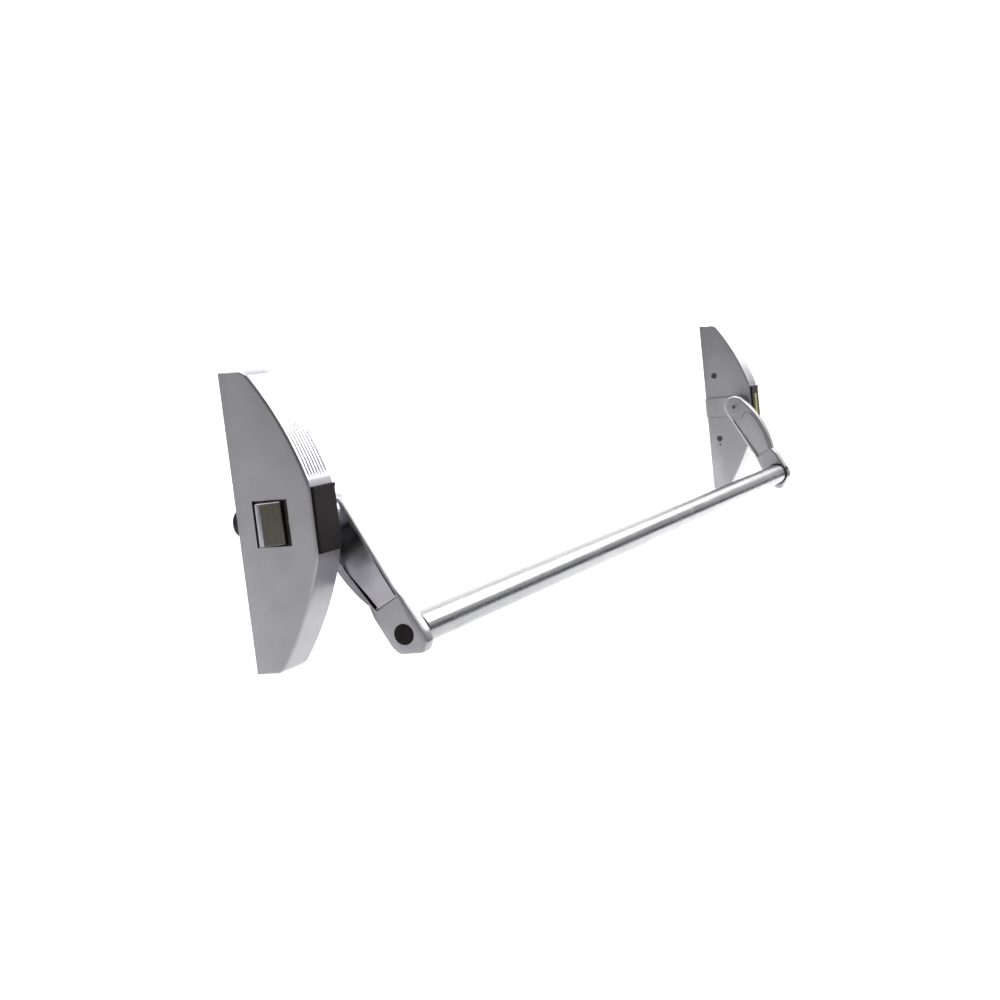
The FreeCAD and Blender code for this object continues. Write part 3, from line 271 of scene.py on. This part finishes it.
# CAD meshes take the material of their slot; the pivot screws and washers are brighter, with painted shade
# in the socket round the pivot axis.
slot_of = {part["node"]: part["material_slot"] for part in frame["record"]["subparts"]}
for node, thing in frame["nodes"].items():
    thing.data.materials.clear()
    thing.data.materials.append(MATERIALS[slot_of[node]])
for node in ("latch_pivot_screw", "hinge_pivot_screw", "latch_pivot_washer", "hinge_pivot_washer"):
    frame["nodes"][node].data.materials[0] = MATERIALS["pivot_steel_socket_shade"]


# ---------------------------------------------------------------- meshes


def new_object(name, verts, faces):
    """Mesh object from points in millimetres."""
    mesh = bpy.data.meshes.new(name)
    mesh.from_pydata([[value * MM for value in vert] for vert in verts], [], faces)
    mesh.validate()
    thing = bpy.data.objects.new(name, mesh)
    bpy.context.scene.collection.objects.link(thing)
    return thing


def tidy_mesh(mesh, angle=32):
    """Outward normals, smooth shading and sharp edges where the faces turn by more than the angle."""
    body = bmesh.new()
    body.from_mesh(mesh)
    bmesh.ops.remove_doubles(body, verts=body.verts, dist=1e-6)
    bmesh.ops.recalc_face_normals(body, faces=body.faces)
    for face in body.faces:
        face.smooth = True
    for edge in body.edges:
        edge.smooth = len(edge.link_faces) == 2 and edge.calc_face_angle() < math.radians(angle)
    body.to_mesh(mesh)
    body.free()


def combine(thing, operation, tools):
    """Cut tools out of an object, or join them to it, and drop the tools."""
    tidy_mesh(thing.data)
    for tool in tools:
        tidy_mesh(tool.data)
        step = thing.modifiers.new("step", "BOOLEAN")
        step.operation = operation
        step.solver = "EXACT"
        step.object = tool
        view_layer = bpy.context.evaluated_depsgraph_get()
        mesh = bpy.data.meshes.new_from_object(thing.evaluated_get(view_layer))
        thing.modifiers.clear()
        thing.data = mesh
    for tool in tools:
        bpy.data.objects.remove(tool)


def arc_points(centre, radius, first, last, count):
    """Points with outward normals along an arc, angles in degrees."""
    rows = []
    for step in range(count + 1):
        angle = math.radians(first + (last - first) * step / count)
        normal = (math.cos(angle), math.sin(angle))
        rows.append((centre[0] + radius * normal[0], centre[1] + radius * normal[1], *normal))
    return rows


def slope_circle():
    """Centre of the upper slope's arc, which bows towards the user."""
    ends = Vector((-END_DEPTH, HALF_HEIGHT)), Vector((-CASE_DEPTH, FRONT_HALF))
    chord = ends[1] - ends[0]
    reach = math.sqrt(SLOPE_RADIUS ** 2 - (chord.length / 2) ** 2)
    normal = Vector((-chord.y, chord.x)).normalized()
    return (ends[0] + ends[1]) / 2 + normal * reach


def case_path(inset=0.0):
    """Half of a case's side view, from the middle of the front up to the back, as (y, z, ny, nz)."""
    centre = slope_circle()
    radius = SLOPE_RADIUS - inset
    front, top = -CASE_DEPTH + inset, HALF_HEIGHT - inset
    low = math.degrees(math.asin((FRONT_HALF - inset * 0.4 - centre.y) / radius))
    high = math.degrees(math.asin((top - centre.y) / radius))
    rows = [(front, z, -1, 0) for z in (0, 8, 16, FRONT_HALF - CORNER_RUN)]
    rows += arc_points(centre, radius, 180 - low - CORNER_TURN, 180 - high + CORNER_TURN, 64)
    end = arc_points(centre, radius, 180 - high, 180 - high, 1)[0]
    rows += [(end[0] + CORNER_RUN, top, 0, 1), (-10, top, 0, 1), (0, top, 0, 1)]
    return rows


def whole_path(rows):
    """A half side view with its mirror image below it, from the lower end to the upper."""
    lower = [(y, -z, ny, -nz) for y, z, ny, nz in reversed(rows) if z > 0]
    return lower + rows


def flute_columns():
    """Distances across the front band, with closer ones beside each groove."""
    beside = (0, 0.05, 0.12, 0.25, 0.5, 0.75, 0.88, 0.95)
    count = FLUTED_HALF // FLUTE_PITCH
    spots = [FLUTE_PITCH * (number + part) for number in range(-count, count) for part in beside]
    return spots + [FLUTED_HALF]


def flute_depth(x, z):
    """How far the grooves sink in at a point of the front band."""
    if abs(x) > FLUTED_HALF + 0.01 or z < FLUTE_START:
        return 0
    part = (x / FLUTE_PITCH) % 1
    fade = min(1, (z - FLUTE_START) / 3, max(0, FLUTE_END - z) / FLUTE_FADE)
    return FLUTE_DEPTH * fade * (2 * part - 1) ** 4


def case_block(name, case_x):
    """Outside of a case as one closed mesh: rounded rims, bowed slopes and a fluted upper slope."""
    quarter = [math.radians(step * 15) for step in range(7)]
    right = [(13, 0), (14.2, 0)]
    right += [(HALF_WIDTH - RIM_RADIUS * (1 - math.sin(angle)), RIM_RADIUS * (1 - math.cos(angle)))
              for angle in quarter]
    left = [(-x, drop) for x, drop in reversed(right)]
    section = left + [(x, 0) for x in flute_columns()] + right
    path = whole_path(case_path())
    verts = []
    for y, z, ny, nz in path:
        for x, drop in section:
            sink = drop * (1 if y < -0.5 else 0) + flute_depth(x, z)
            verts.append((case_x + x, min(0, y - ny * sink), z - nz * sink))
    wide = len(section)
    faces = []
    for row in range(len(path) - 1):
        for column in range(wide - 1):
            first = row * wide + column
            faces.append((first, first + 1, first + 1 + wide, first + wide))
    for column in (0, wide - 1):
        faces.append([row * wide + column for row in range(len(path))])
    last = (len(path) - 1) * wide
    faces.append(list(range(wide)) + [last + column for column in reversed(range(wide))])
    return new_object(name, verts, faces)


def prism(points, near, far):
    """Closed prism along X over a side-view outline of (y, z) points."""
    count = len(points)
    verts = [(x, y, z) for x in (near, far) for y, z in points]
    faces = [list(range(count)), list(range(count, 2 * count))]
    faces += [(i, (i + 1) % count, (i + 1) % count + count, i + count) for i in range(count)]
    return new_object("tool", verts, faces)


def round_points(y, z, radius, count=48):
    """Outline of a circle."""
    return [(y + radius * math.cos(math.tau * i / count), z + radius * math.sin(math.tau * i / count))
            for i in range(count)]


def box_points(low_y, low_z, high_y, high_z):
    """Outline of a rectangle."""
    return [(low_y, low_z), (high_y, low_z), (high_y, high_z), (low_y, high_z)]


def stadium(radius):
    """Outline of the raised band and bearing boss."""
    turn = [math.radians(90 + step * 6) for step in range(31)]
    nose = [(-PIVOT + radius * math.cos(angle), radius * math.sin(angle)) for angle in turn]
    return [(0, radius)] + nose + [(0, -radius)]


def case_cover(name, side):
    """Cover of one case, cut and drilled like the CAD cover that it stands for."""
    case_x = 0 if side == 1 else SPACING

    def across(near, far):
        """Range of X between two distances towards the bar."""
        return tuple(sorted((case_x + side * near, case_x + side * far)))

    inside, outside = HALF_WIDTH - 3, HALF_WIDTH + 1
    cover = case_block(f"{name}_cover", case_x)
    combine(cover, "DIFFERENCE", [prism(stadium(GROOVE_RADIUS), *across(GROOVE_FLOOR, outside))])
    band = prism(stadium(BAND_RADIUS), *across(GROOVE_FLOOR + 0.1, BAND_PROUD))
    cap = prism(stadium(CAP_RADIUS), *across(BAND_PROUD - 0.2, CAP_PROUD))
    combine(cover, "UNION", [band, cap])
    hollow = [(min(y, 1), z) for y, z, _, _ in whole_path(case_path(WALL))]
    hollow = [(1, hollow[0][1])] + hollow + [(1, hollow[-1][1])]
    half = HALF_WIDTH - WALL
    recess = box_points(-CASE_DEPTH - 4, -INSERT_HALF, -INSERT_FLOOR, INSERT_HALF)
    cuts = [
        prism(hollow, case_x - half, case_x + half),
        prism(recess, case_x - half + 0.2, case_x + half - 0.2),
        prism(round_points(-PIVOT, 0, BORE_RADIUS), *across(inside, CAP_PROUD + 1)),
        prism(round_points(-SCREW_BACK, PILOT_HEIGHT, PILOT_RADIUS, 24), *across(inside, outside)),
    ]
    for height in (SCREW_HEIGHT, -SCREW_HEIGHT):
        hole = round_points(-SCREW_BACK, height, SCREW_RADIUS, 32)
        sink = round_points(-SCREW_BACK, height, HEAD_RADIUS)
        cuts += [prism(hole, *across(inside, outside)), prism(sink, *across(15.8, outside))]
    if side == 1:
        opening = box_points(-OPENING_FRONT, -OPENING_HALF, -OPENING_BACK, OPENING_HALF)
        cuts.append(prism(opening, -outside, -inside))
    combine(cover, "DIFFERENCE", cuts)
    tidy_mesh(cover.data)
    cover.data.materials.clear()
    cover.data.materials.append(MATERIALS["silver_paint"])
    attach(cover, "cases")
    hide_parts(f"{name}_case_cover")


def rounded(points, radius, steps=4):
    """Closed outline with each sharp corner replaced by a short curve."""
    out = []
    for number, corner in enumerate(points):
        corner = Vector(corner)
        before, after = Vector(points[number - 1]), Vector(points[(number + 1) % len(points)])
        back, ahead = before - corner, after - corner
        turn = back.angle(-ahead)
        reach = min(radius, back.length * 0.45, ahead.length * 0.45)
        if turn < math.radians(12):
            out.append(corner)
            continue
        start, end = corner + back.normalized() * reach, corner + ahead.normalized() * reach
        for step in range(steps + 1):
            part = step / steps
            out.append((1 - part) ** 2 * start + 2 * part * (1 - part) * corner + part ** 2 * end)
    return [tuple(point) for point in out]


def bow_edge(z):
    """Distance of the bowed edge from the arm's middle line."""
    low, high = (NECK_HIGH, NECK_Z), BOW_TOP
    half = math.dist(low, high) / 2
    middle_b, middle_z = (low[0] + high[0]) / 2, (low[1] + high[1]) / 2
    reach = math.sqrt(BOW_RADIUS ** 2 - half ** 2)
    return middle_b - reach + math.sqrt(BOW_RADIUS ** 2 - (z - middle_z) ** 2)


def arm_outline():
    """Side view of an arm that hangs straight down, as (b, z)."""
    foot, half = -ARM_LENGTH, FOOT_HALF
    top = [(ARM_TOP * math.cos(math.radians(angle)), ARM_TOP * math.sin(math.radians(angle)))
           for angle in range(20, 181, 8)]
    bow = [(bow_edge(z), z) for z in range(NECK_Z + 1, 3, 3)]
    corners = [
        (NECK_LOW, NECK_Z), (-half, FOOT_TOP), (-half, foot - half * 0.45), (-half * 0.88, foot - half),
        (-half * 0.4, foot - half * 1.36), (half * 0.83, foot - half * 0.73),
        (half, foot - half * 0.2), (half, FOOT_TOP), (NECK_HIGH, NECK_Z),
    ]
    return rounded(top + corners + bow, ARM_ROUNDING)


def loft(outline, layers):
    """Closed solid through inset copies of an outline at several depths."""
    count = len(outline)
    normals = []
    for number in range(count):
        along = Vector(outline[(number + 1) % count]) - Vector(outline[number - 1])
        normals.append(Vector((-along.y, along.x)).normalized())
    verts = []
    for depth, inset in layers:
        for (b, z), normal in zip(outline, normals):
            verts.append((depth, b + normal.x * inset, z + normal.y * inset))
    faces = [list(range(count)), [(len(layers) - 1) * count + i for i in range(count)]]
    for layer in range(len(layers) - 1):
        for i in range(count):
            j = (i + 1) % count
            faces.append((layer * count + i, layer * count + j,
                          (layer + 1) * count + j, (layer + 1) * count + i))
    return new_object("arm_blank", verts, faces)


def strap_edges(z):
    """Where the hollow of the case side starts and ends across the arm."""
    part = (z - STRAP_FOOT) / EDGE_RUN
    return -11.1 - 0.5 * part, 9.2 + 6.8 * part


def strap_depth(z):
    """Depth of the arched strap: level beside the foot, then a crest, then deep under the hub."""
    knots = [(-79, 1.6), (-70, 1.5), (-58, 0.9), (-48, 0.7), (-42, 1.3), (-37, 2.8), (-32, 5.2),
             (-27, 7.9), (-22, 9.6), (-13, 9.9)]
    for (low, first), (high, last) in zip(knots, knots[1:]):
        if z <= high:
            part = (z - low) / (high - low)
            smooth = part * part * (3 - 2 * part)
            return first + (last - first) * (0.5 * part + 0.5 * smooth)
    return knots[-1][1]


def strap_tool():
    """Solid that hollows the case side between the two rims."""
    rows = [STRAP_FOOT + (STRAP_ROOT - STRAP_FOOT) * step / 44 for step in range(45)]
    parts = (0, 0.03, 0.08, 0.16, 0.3, 0.5, 0.7, 0.84, 0.92, 0.97, 1)
    verts = []
    for z in rows:
        low, high = strap_edges(z)
        squeeze = 1 - 0.12 * max(0, (z + 26) / 13) ** 2
        for part in parts:
            b = (low + (high - low) * part) * squeeze
            rise = 1 - min(1, min(part, 1 - part) / 0.08)
            verts.append((strap_depth(z) * (1 - 0.3 * rise ** 2), b, z))
    wide, base = len(parts), len(verts)
    verts += [(-1, b, z) for _, b, z in verts]
    faces = []
    for row in range(len(rows) - 1):
        for column in range(wide - 1):
            a = row * wide + column
            faces.append((a, a + 1, a + 1 + wide, a + wide))
            faces.append((base + a, base + a + wide, base + a + 1 + wide, base + a + 1))
        for column in (0, wide - 1):
            a = row * wide + column
            faces.append((a, a + wide, base + a + wide, base + a))
    for row in (0, len(rows) - 1):
        for column in range(wide - 1):
            a = row * wide + column
            faces.append((a, base + a, base + a + 1, a + 1))
    return new_object("tool", verts, faces)


def slit_tool(straight):
    """Narrow slit that parts the strap from one rim, widest beside the foot."""
    near, far = [], []
    for step in range(14):
        z = SLIT_FOOT + SLIT_LENGTH * step / 13
        low, high = strap_edges(z)
        wide = SLIT_WIDTH * (1 - (step / 13) ** 2) + 0.05
        near.append((low - SLIT_BESIDE if straight else high + SLIT_BESIDE, z))
        far.append((low - SLIT_BESIDE + wide if straight else high + SLIT_BESIDE - wide, z))
    return prism(near + far[::-1], -1, SLIT_DEPTH)


def panel_tool():
    """Recess of the tube side, shallow under the hub and deep beside the foot."""
    verts = []
    for z, depth in ((-71, 2.4), (-60, 2.0), (-45, 1.5), (-24, 0.9)):
        for b in (PANEL_LOW, PANEL_HIGH):
            verts += [(ARM_THICK - depth, b, z), (ARM_THICK + 1, b, z)]
    faces = [(0, 1, 3, 2), (12, 14, 15, 13)]
    for row in range(3):
        a = row * 4
        faces += [(a, a + 4, a + 5, a + 1), (a + 2, a + 3, a + 7, a + 6),
                  (a, a + 2, a + 6, a + 4), (a + 1, a + 5, a + 7, a + 3)]
    return new_object("tool", verts, faces)


def face_recess_tool():
    """Shallow field of the tube side with a narrow groove all round it."""
    bow = [(bow_edge(z) - 3, z) for z in range(NECK_Z + 1, -23, 4)]
    upper = [(15.4, -19), (12.2, -14), (9, -12.9), (5.5, -14.4), (3, -16.4), (0, -17.2), (-3, -16.6),
             (-7, -15), (-11, -14.4)]
    outline = rounded([(-9.4, NECK_Z), (9.2, NECK_Z)] + bow + upper, FIELD_ROUNDING)
    field = prism(outline, ARM_THICK - FIELD_DEPTH, ARM_THICK + 1)
    inside = [(1.5 + (b - 1.5) * 0.88, -44 + (z + 44) * 0.955) for b, z in outline]
    island = prism(inside, ARM_THICK - FIELD_GROOVE, ARM_THICK - FIELD_SUNK)
    combine(field, "DIFFERENCE", [island])
    return field


def drill(z, radius, near, far):
    """Round tool on the arm's middle line."""
    return prism(round_points(0, z, radius, 64), near, far)


def grub_hole():
    """Hole of the grub screw, from the foot's bowed edge into the tube's socket."""
    tool = prism(round_points(0, 0, GRUB_RADIUS, 32), TUBE_RADIUS - 0.1, FOOT_HALF + 2.7)
    tool.data.transform(Matrix.Rotation(math.radians(90), 4, "Z"))
    tool.data.transform(Matrix.Translation((GRUB_PLACE * MM, 0, -ARM_LENGTH * MM)))
    return tool


def arm_blank():
    """One cast arm in its own frame: depth from the case side, b, and z below the shaft."""
    quarter = [math.radians(step * 15) for step in range(7)]
    edge = ARM_ROUNDING
    layers = [(0, 0.5), (0.15, 0.15), (0.5, 0)]
    layers += [(ARM_THICK - edge + edge * math.sin(a), edge * (1 - math.cos(a))) for a in quarter]
    arm = loft(arm_outline(), layers)
    combine(arm, "UNION", [drill(0, HUB_RADIUS, -HUB_PROUD, 2)])
    foot, outside = -ARM_LENGTH, ARM_THICK + 1
    step_top = STRAP_FOOT + 0.3
    step_line = box_points(-10.8, step_top - STEP_WIDTH, 9.0, step_top)
    combine(arm, "DIFFERENCE", [
        strap_tool(), slit_tool(straight=True), slit_tool(straight=False), face_recess_tool(), panel_tool(),
        prism(step_line, -1, STEP_DEPTH),
        drill(0, SHAFT_RADIUS, -HUB_PROUD - 1, SHAFT_END),
        drill(0, PIVOT_SCREW_RADIUS, SHAFT_END - 1, outside),
        drill(0, WASHER_RADIUS, ARM_THICK - WASHER_SUNK, outside),
        drill(foot, TUBE_RADIUS + TUBE_GAP, ARM_THICK - SOCKET_DEPTH, outside),
        drill(foot, CLAMP_RADIUS, 1, ARM_THICK - SOCKET_DEPTH + 1),
        drill(foot, END_CAP_RADIUS, -1, END_CAP_DEPTH),
        grub_hole(),
    ])
    return arm


def paint_light_on_scoop(mesh):
    """Painted light on the hollow of the case side: a lighter enamel as painted highlight with painted
    shade near the hub, and dark steel as painted shade on the walls inside its slits.
    """
    slit_shade_index, scoop_light_index = 1, 2
    for face in mesh.polygons:
        depth, b, z = (value / MM for value in face.center)
        if not (STRAP_FOOT + 0.4 < z < STRAP_ROOT + 0.5 and 0.3 < depth < 10.5):
            continue
        low, high = strap_edges(z)
        beside_slit = low - 0.5 < b < low + 2 or high - 2 < b < high + 0.5
        # Walls inside the slits take near-black steel as painted shade.
        if abs(face.normal.x) < 0.7 and z < SLIT_FOOT + SLIT_LENGTH + 0.5 and beside_slit:
            face.material_index = slit_shade_index
        # The rest of the hollow takes the lighter enamel with painted highlight and painted shade.
        elif face.normal.x < -0.3 and low - 0.5 < b < high + 0.5:
            face.material_index = scoop_light_index


def arms():
    """Both arms, copied from one mesh and leaned into the bar's rest position."""
    blank = arm_blank()
    mesh = blank.data
    tidy_mesh(mesh, angle=28)
    mesh.materials.clear()
    # The second and third slots hold painted shade in the slits and painted light on the hollow.
    for finish in ("silver_paint", "zinc_steel", "scoop_painted_light"):
        mesh.materials.append(MATERIALS[finish])
    paint_light_on_scoop(mesh)
    lean = Matrix.Rotation(math.radians(-REST_ANGLE), 4, "X")
    for name, side in SIDES.items():
        arm = bpy.data.objects.new(f"{name}_swing_arm", mesh.copy())
        flip = Matrix.Rotation(0 if side == 1 else math.pi, 4, "Z")
        pivot = Matrix.Translation((0 if side == 1 else SPACING * MM, -PIVOT * MM, 0))
        arm.data.transform(pivot @ lean @ flip @ Matrix.Translation((ARM_NEAR * MM, 0, 0)))
        bpy.context.scene.collection.objects.link(arm)
        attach(arm, "bar")
        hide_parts(f"{name}_arm")
    bpy.data.objects.remove(blank)


def bolt():
    """Latch bolt with a painted highlight on its tip and upper rim, beside a darker slope."""
    plan = [
        (-BOLT_REAR, -BOLT_BACK), (-BOLT_TIP, -BOLT_BACK), (-BOLT_TIP, -BOLT_NOSE),
        (-BOLT_SLOPE, -BOLT_FRONT), (-BOLT_REAR, -BOLT_FRONT),
    ]
    count = len(plan)
    verts = [(x, y, z) for z in (-BOLT_HALF, BOLT_HALF) for x, y in plan]
    faces = [list(range(count)), list(range(count, 2 * count))]
    faces += [(i, (i + 1) % count, (i + 1) % count + count, i + count) for i in range(count)]
    piece = new_object("bolt", verts, faces)
    tidy_mesh(piece.data)
    piece.data.materials.append(MATERIALS["bolt_steel"])
    piece.data.materials.append(MATERIALS["bolt_painted_highlight"])
    edge = piece.modifiers.new("rims", "BEVEL")
    edge.width = BOLT_RIM * MM
    edge.segments = 3
    view_layer = bpy.context.evaluated_depsgraph_get()
    mesh = bpy.data.meshes.new_from_object(piece.evaluated_get(view_layer))
    piece.modifiers.clear()
    # Faces towards the tip and the upper rims take the painted highlight.
    for face in mesh.polygons:
        bright = face.normal.x < -0.8 or 0.3 < face.normal.z < 0.98
        face.material_index = 1 if bright else 0
    piece.data = mesh
    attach(piece, "bolt")
    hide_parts("latch_bolt")


for side_name, side in SIDES.items():
    case_cover(side_name, side)
arms()
bolt()


# ---------------------------------------------------------------- stage, light and camera, in metres

FLOOR_Z = -0.34

# Backdrop, measured along the direction that leads away from the camera.
AWAY = (0.83, 0.55)
SWEEP_NEAR, SWEEP_BEND, SWEEP_RADIUS, SWEEP_TOP, SWEEP_HALF = -5.0, 2.6, 1.5, 5.0, 6

# Dark card in front of the bar.
FLAG_FROM, FLAG_TO, FLAG_Y, FLAG_TOP = 0.3, 3.2, -0.55, -0.10

# Studio: brightness, and the direction that its bright side lies in.
ROOM_STRENGTH = 1.45
BRIGHT_TOWARDS = (0.5, 0.75, 0)

# Turn angles are in degrees, lens and sensor width in millimetres.
CAMERA_PLACE = (-1.0391, -0.6824, 0.1069)
CAMERA_TURN = (82.0, 5.664, -70.579)
LENS, SENSOR = 60.312, 36
SHIFT = (-0.14565, 0.0689)


def staged(name, verts, faces, material):
    """Smooth mesh object that belongs to the stage, not to the bar."""
    mesh = bpy.data.meshes.new(name)
    mesh.from_pydata(verts, [], faces)
    mesh.polygons.foreach_set("use_smooth", [True] * len(faces))
    mesh.materials.append(material)
    thing = bpy.data.objects.new(name, mesh)
    bpy.context.scene.collection.objects.link(thing)
    return thing


def matte(name, low, high):
    """Flat grey paint with slow drifts between two tones."""
    material, tree, shader = new_material(name)
    speck = noise(tree, coordinates(tree, EVEN), 3, 3)
    tree.links.new(ramp(tree, speck, (low,) * 3, (high,) * 3), shader.inputs["Base Color"])
    shader.inputs["Roughness"].default_value = 0.9
    return material


def sweep():
    """Pale floor that curves up into a backdrop behind the bar."""
    rows = [(SWEEP_NEAR, FLOOR_Z), (SWEEP_BEND, FLOOR_Z)]
    for step in range(1, 13):
        angle = math.radians(90 * step / 12)
        rows.append((SWEEP_BEND + SWEEP_RADIUS * math.sin(angle),
                     FLOOR_Z + SWEEP_RADIUS * (1 - math.cos(angle))))
    rows.append((SWEEP_BEND + SWEEP_RADIUS, SWEEP_TOP))
    verts = []
    for reach, height in rows:
        for side in (-SWEEP_HALF, SWEEP_HALF):
            verts.append((reach * AWAY[0] - side * AWAY[1], reach * AWAY[1] + side * AWAY[0], height))
    faces = [(2 * i, 2 * i + 1, 2 * i + 3, 2 * i + 2) for i in range(len(rows) - 1)]
    staged("floor", verts, faces, matte("pale_floor", 0.90, 0.93))


def flag():
    """Dark card in front of the bar that only shows in reflections."""
    corners = box_points(FLAG_FROM, FLOOR_Z + 0.001, FLAG_TO, FLAG_TOP)
    verts = [(x, FLAG_Y, z) for x, z in corners]
    card = staged("flag", verts, [(0, 1, 2, 3)], matte("dark_card", 0.02, 0.03))
    card.visible_camera = False
    card.visible_diffuse = False
    card.visible_shadow = False


def area_light(name, place, target, width, height, watts, mirrored=True):
    """Soft lamp that the camera doesn't see, aimed from a place at a target."""
    data = bpy.data.lights.new(name, "AREA")
    data.shape = "RECTANGLE"
    data.size = width
    data.size_y = height
    data.energy = watts
    lamp = bpy.data.objects.new(name, data)
    lamp.location = place
    lamp.rotation_euler = (Vector(target) - Vector(place)).to_track_quat("-Z", "Y").to_euler()
    lamp.visible_camera = False
    lamp.visible_glossy = mirrored
    bpy.context.scene.collection.objects.link(lamp)


def studio_world():
    """White room, brightest near the horizon and behind the bar, darker overhead."""
    world = bpy.data.worlds.new("studio")
    world.use_nodes = True
    tree = world.node_tree
    source = tree.nodes.new("ShaderNodeTexCoord")
    split = tree.nodes.new("ShaderNodeSeparateXYZ")
    tree.links.new(source.outputs["Generated"], split.inputs["Vector"])
    white, overhead = (1.0, 1.0, 1.0), (0.35, 0.35, 0.36)
    height = ramp(tree, split.outputs["Z"], white, overhead, 0.12, 0.55)
    across = tree.nodes.new("ShaderNodeVectorMath")
    across.operation = "DOT_PRODUCT"
    tree.links.new(source.outputs["Generated"], across.inputs[0])
    across.inputs[1].default_value = BRIGHT_TOWARDS
    shift = tree.nodes.new("ShaderNodeMath")
    shift.operation = "ADD"
    tree.links.new(across.outputs["Value"], shift.inputs[0])
    shift.inputs[1].default_value = 0.5
    dark_side, bright_side = (0.20, 0.20, 0.20), (0.90, 0.90, 0.91)
    behind = ramp(tree, shift.outputs["Value"], dark_side, bright_side, 0.24, 0.85)
    product = tree.nodes.new("ShaderNodeVectorMath")
    product.operation = "MULTIPLY"
    tree.links.new(height, product.inputs[0])
    tree.links.new(behind, product.inputs[1])
    tree.links.new(product.outputs["Vector"], tree.nodes["Background"].inputs["Color"])
    tree.nodes["Background"].inputs["Strength"].default_value = ROOM_STRENGTH
    return world


sweep()
flag()
area_light("key", (2.26, -0.82, 1.07), (0, -0.04, 0.05), 1.3, 1.1, 28)
area_light("top", (0.5, 0.0, 2.2), (0.5, 0, 0), 3.0, 2.0, 55)
area_light("wash", (1.33, 0.88, 2.8), (3.4, 2.25, 0.9), 4.5, 1.0, 170)
area_light("far_pool", (-3.0, 1.05, 0.5), (-3.0, 1.05, FLOOR_Z), 1.2, 0.7, 14, mirrored=False)


bpy.context.scene.world = studio_world()
bpy.context.scene.view_settings.view_transform = "Standard"

optics = bpy.data.cameras.new("camera")
optics.sensor_width = SENSOR
optics.lens = LENS
optics.shift_x, optics.shift_y = SHIFT
optics.clip_start = 0.01
camera = bpy.data.objects.new("camera", optics)
camera.location = CAMERA_PLACE
camera.rotation_euler = [math.radians(angle) for angle in CAMERA_TURN]
bpy.context.scene.collection.objects.link(camera)
bpy.context.scene.camera = camera
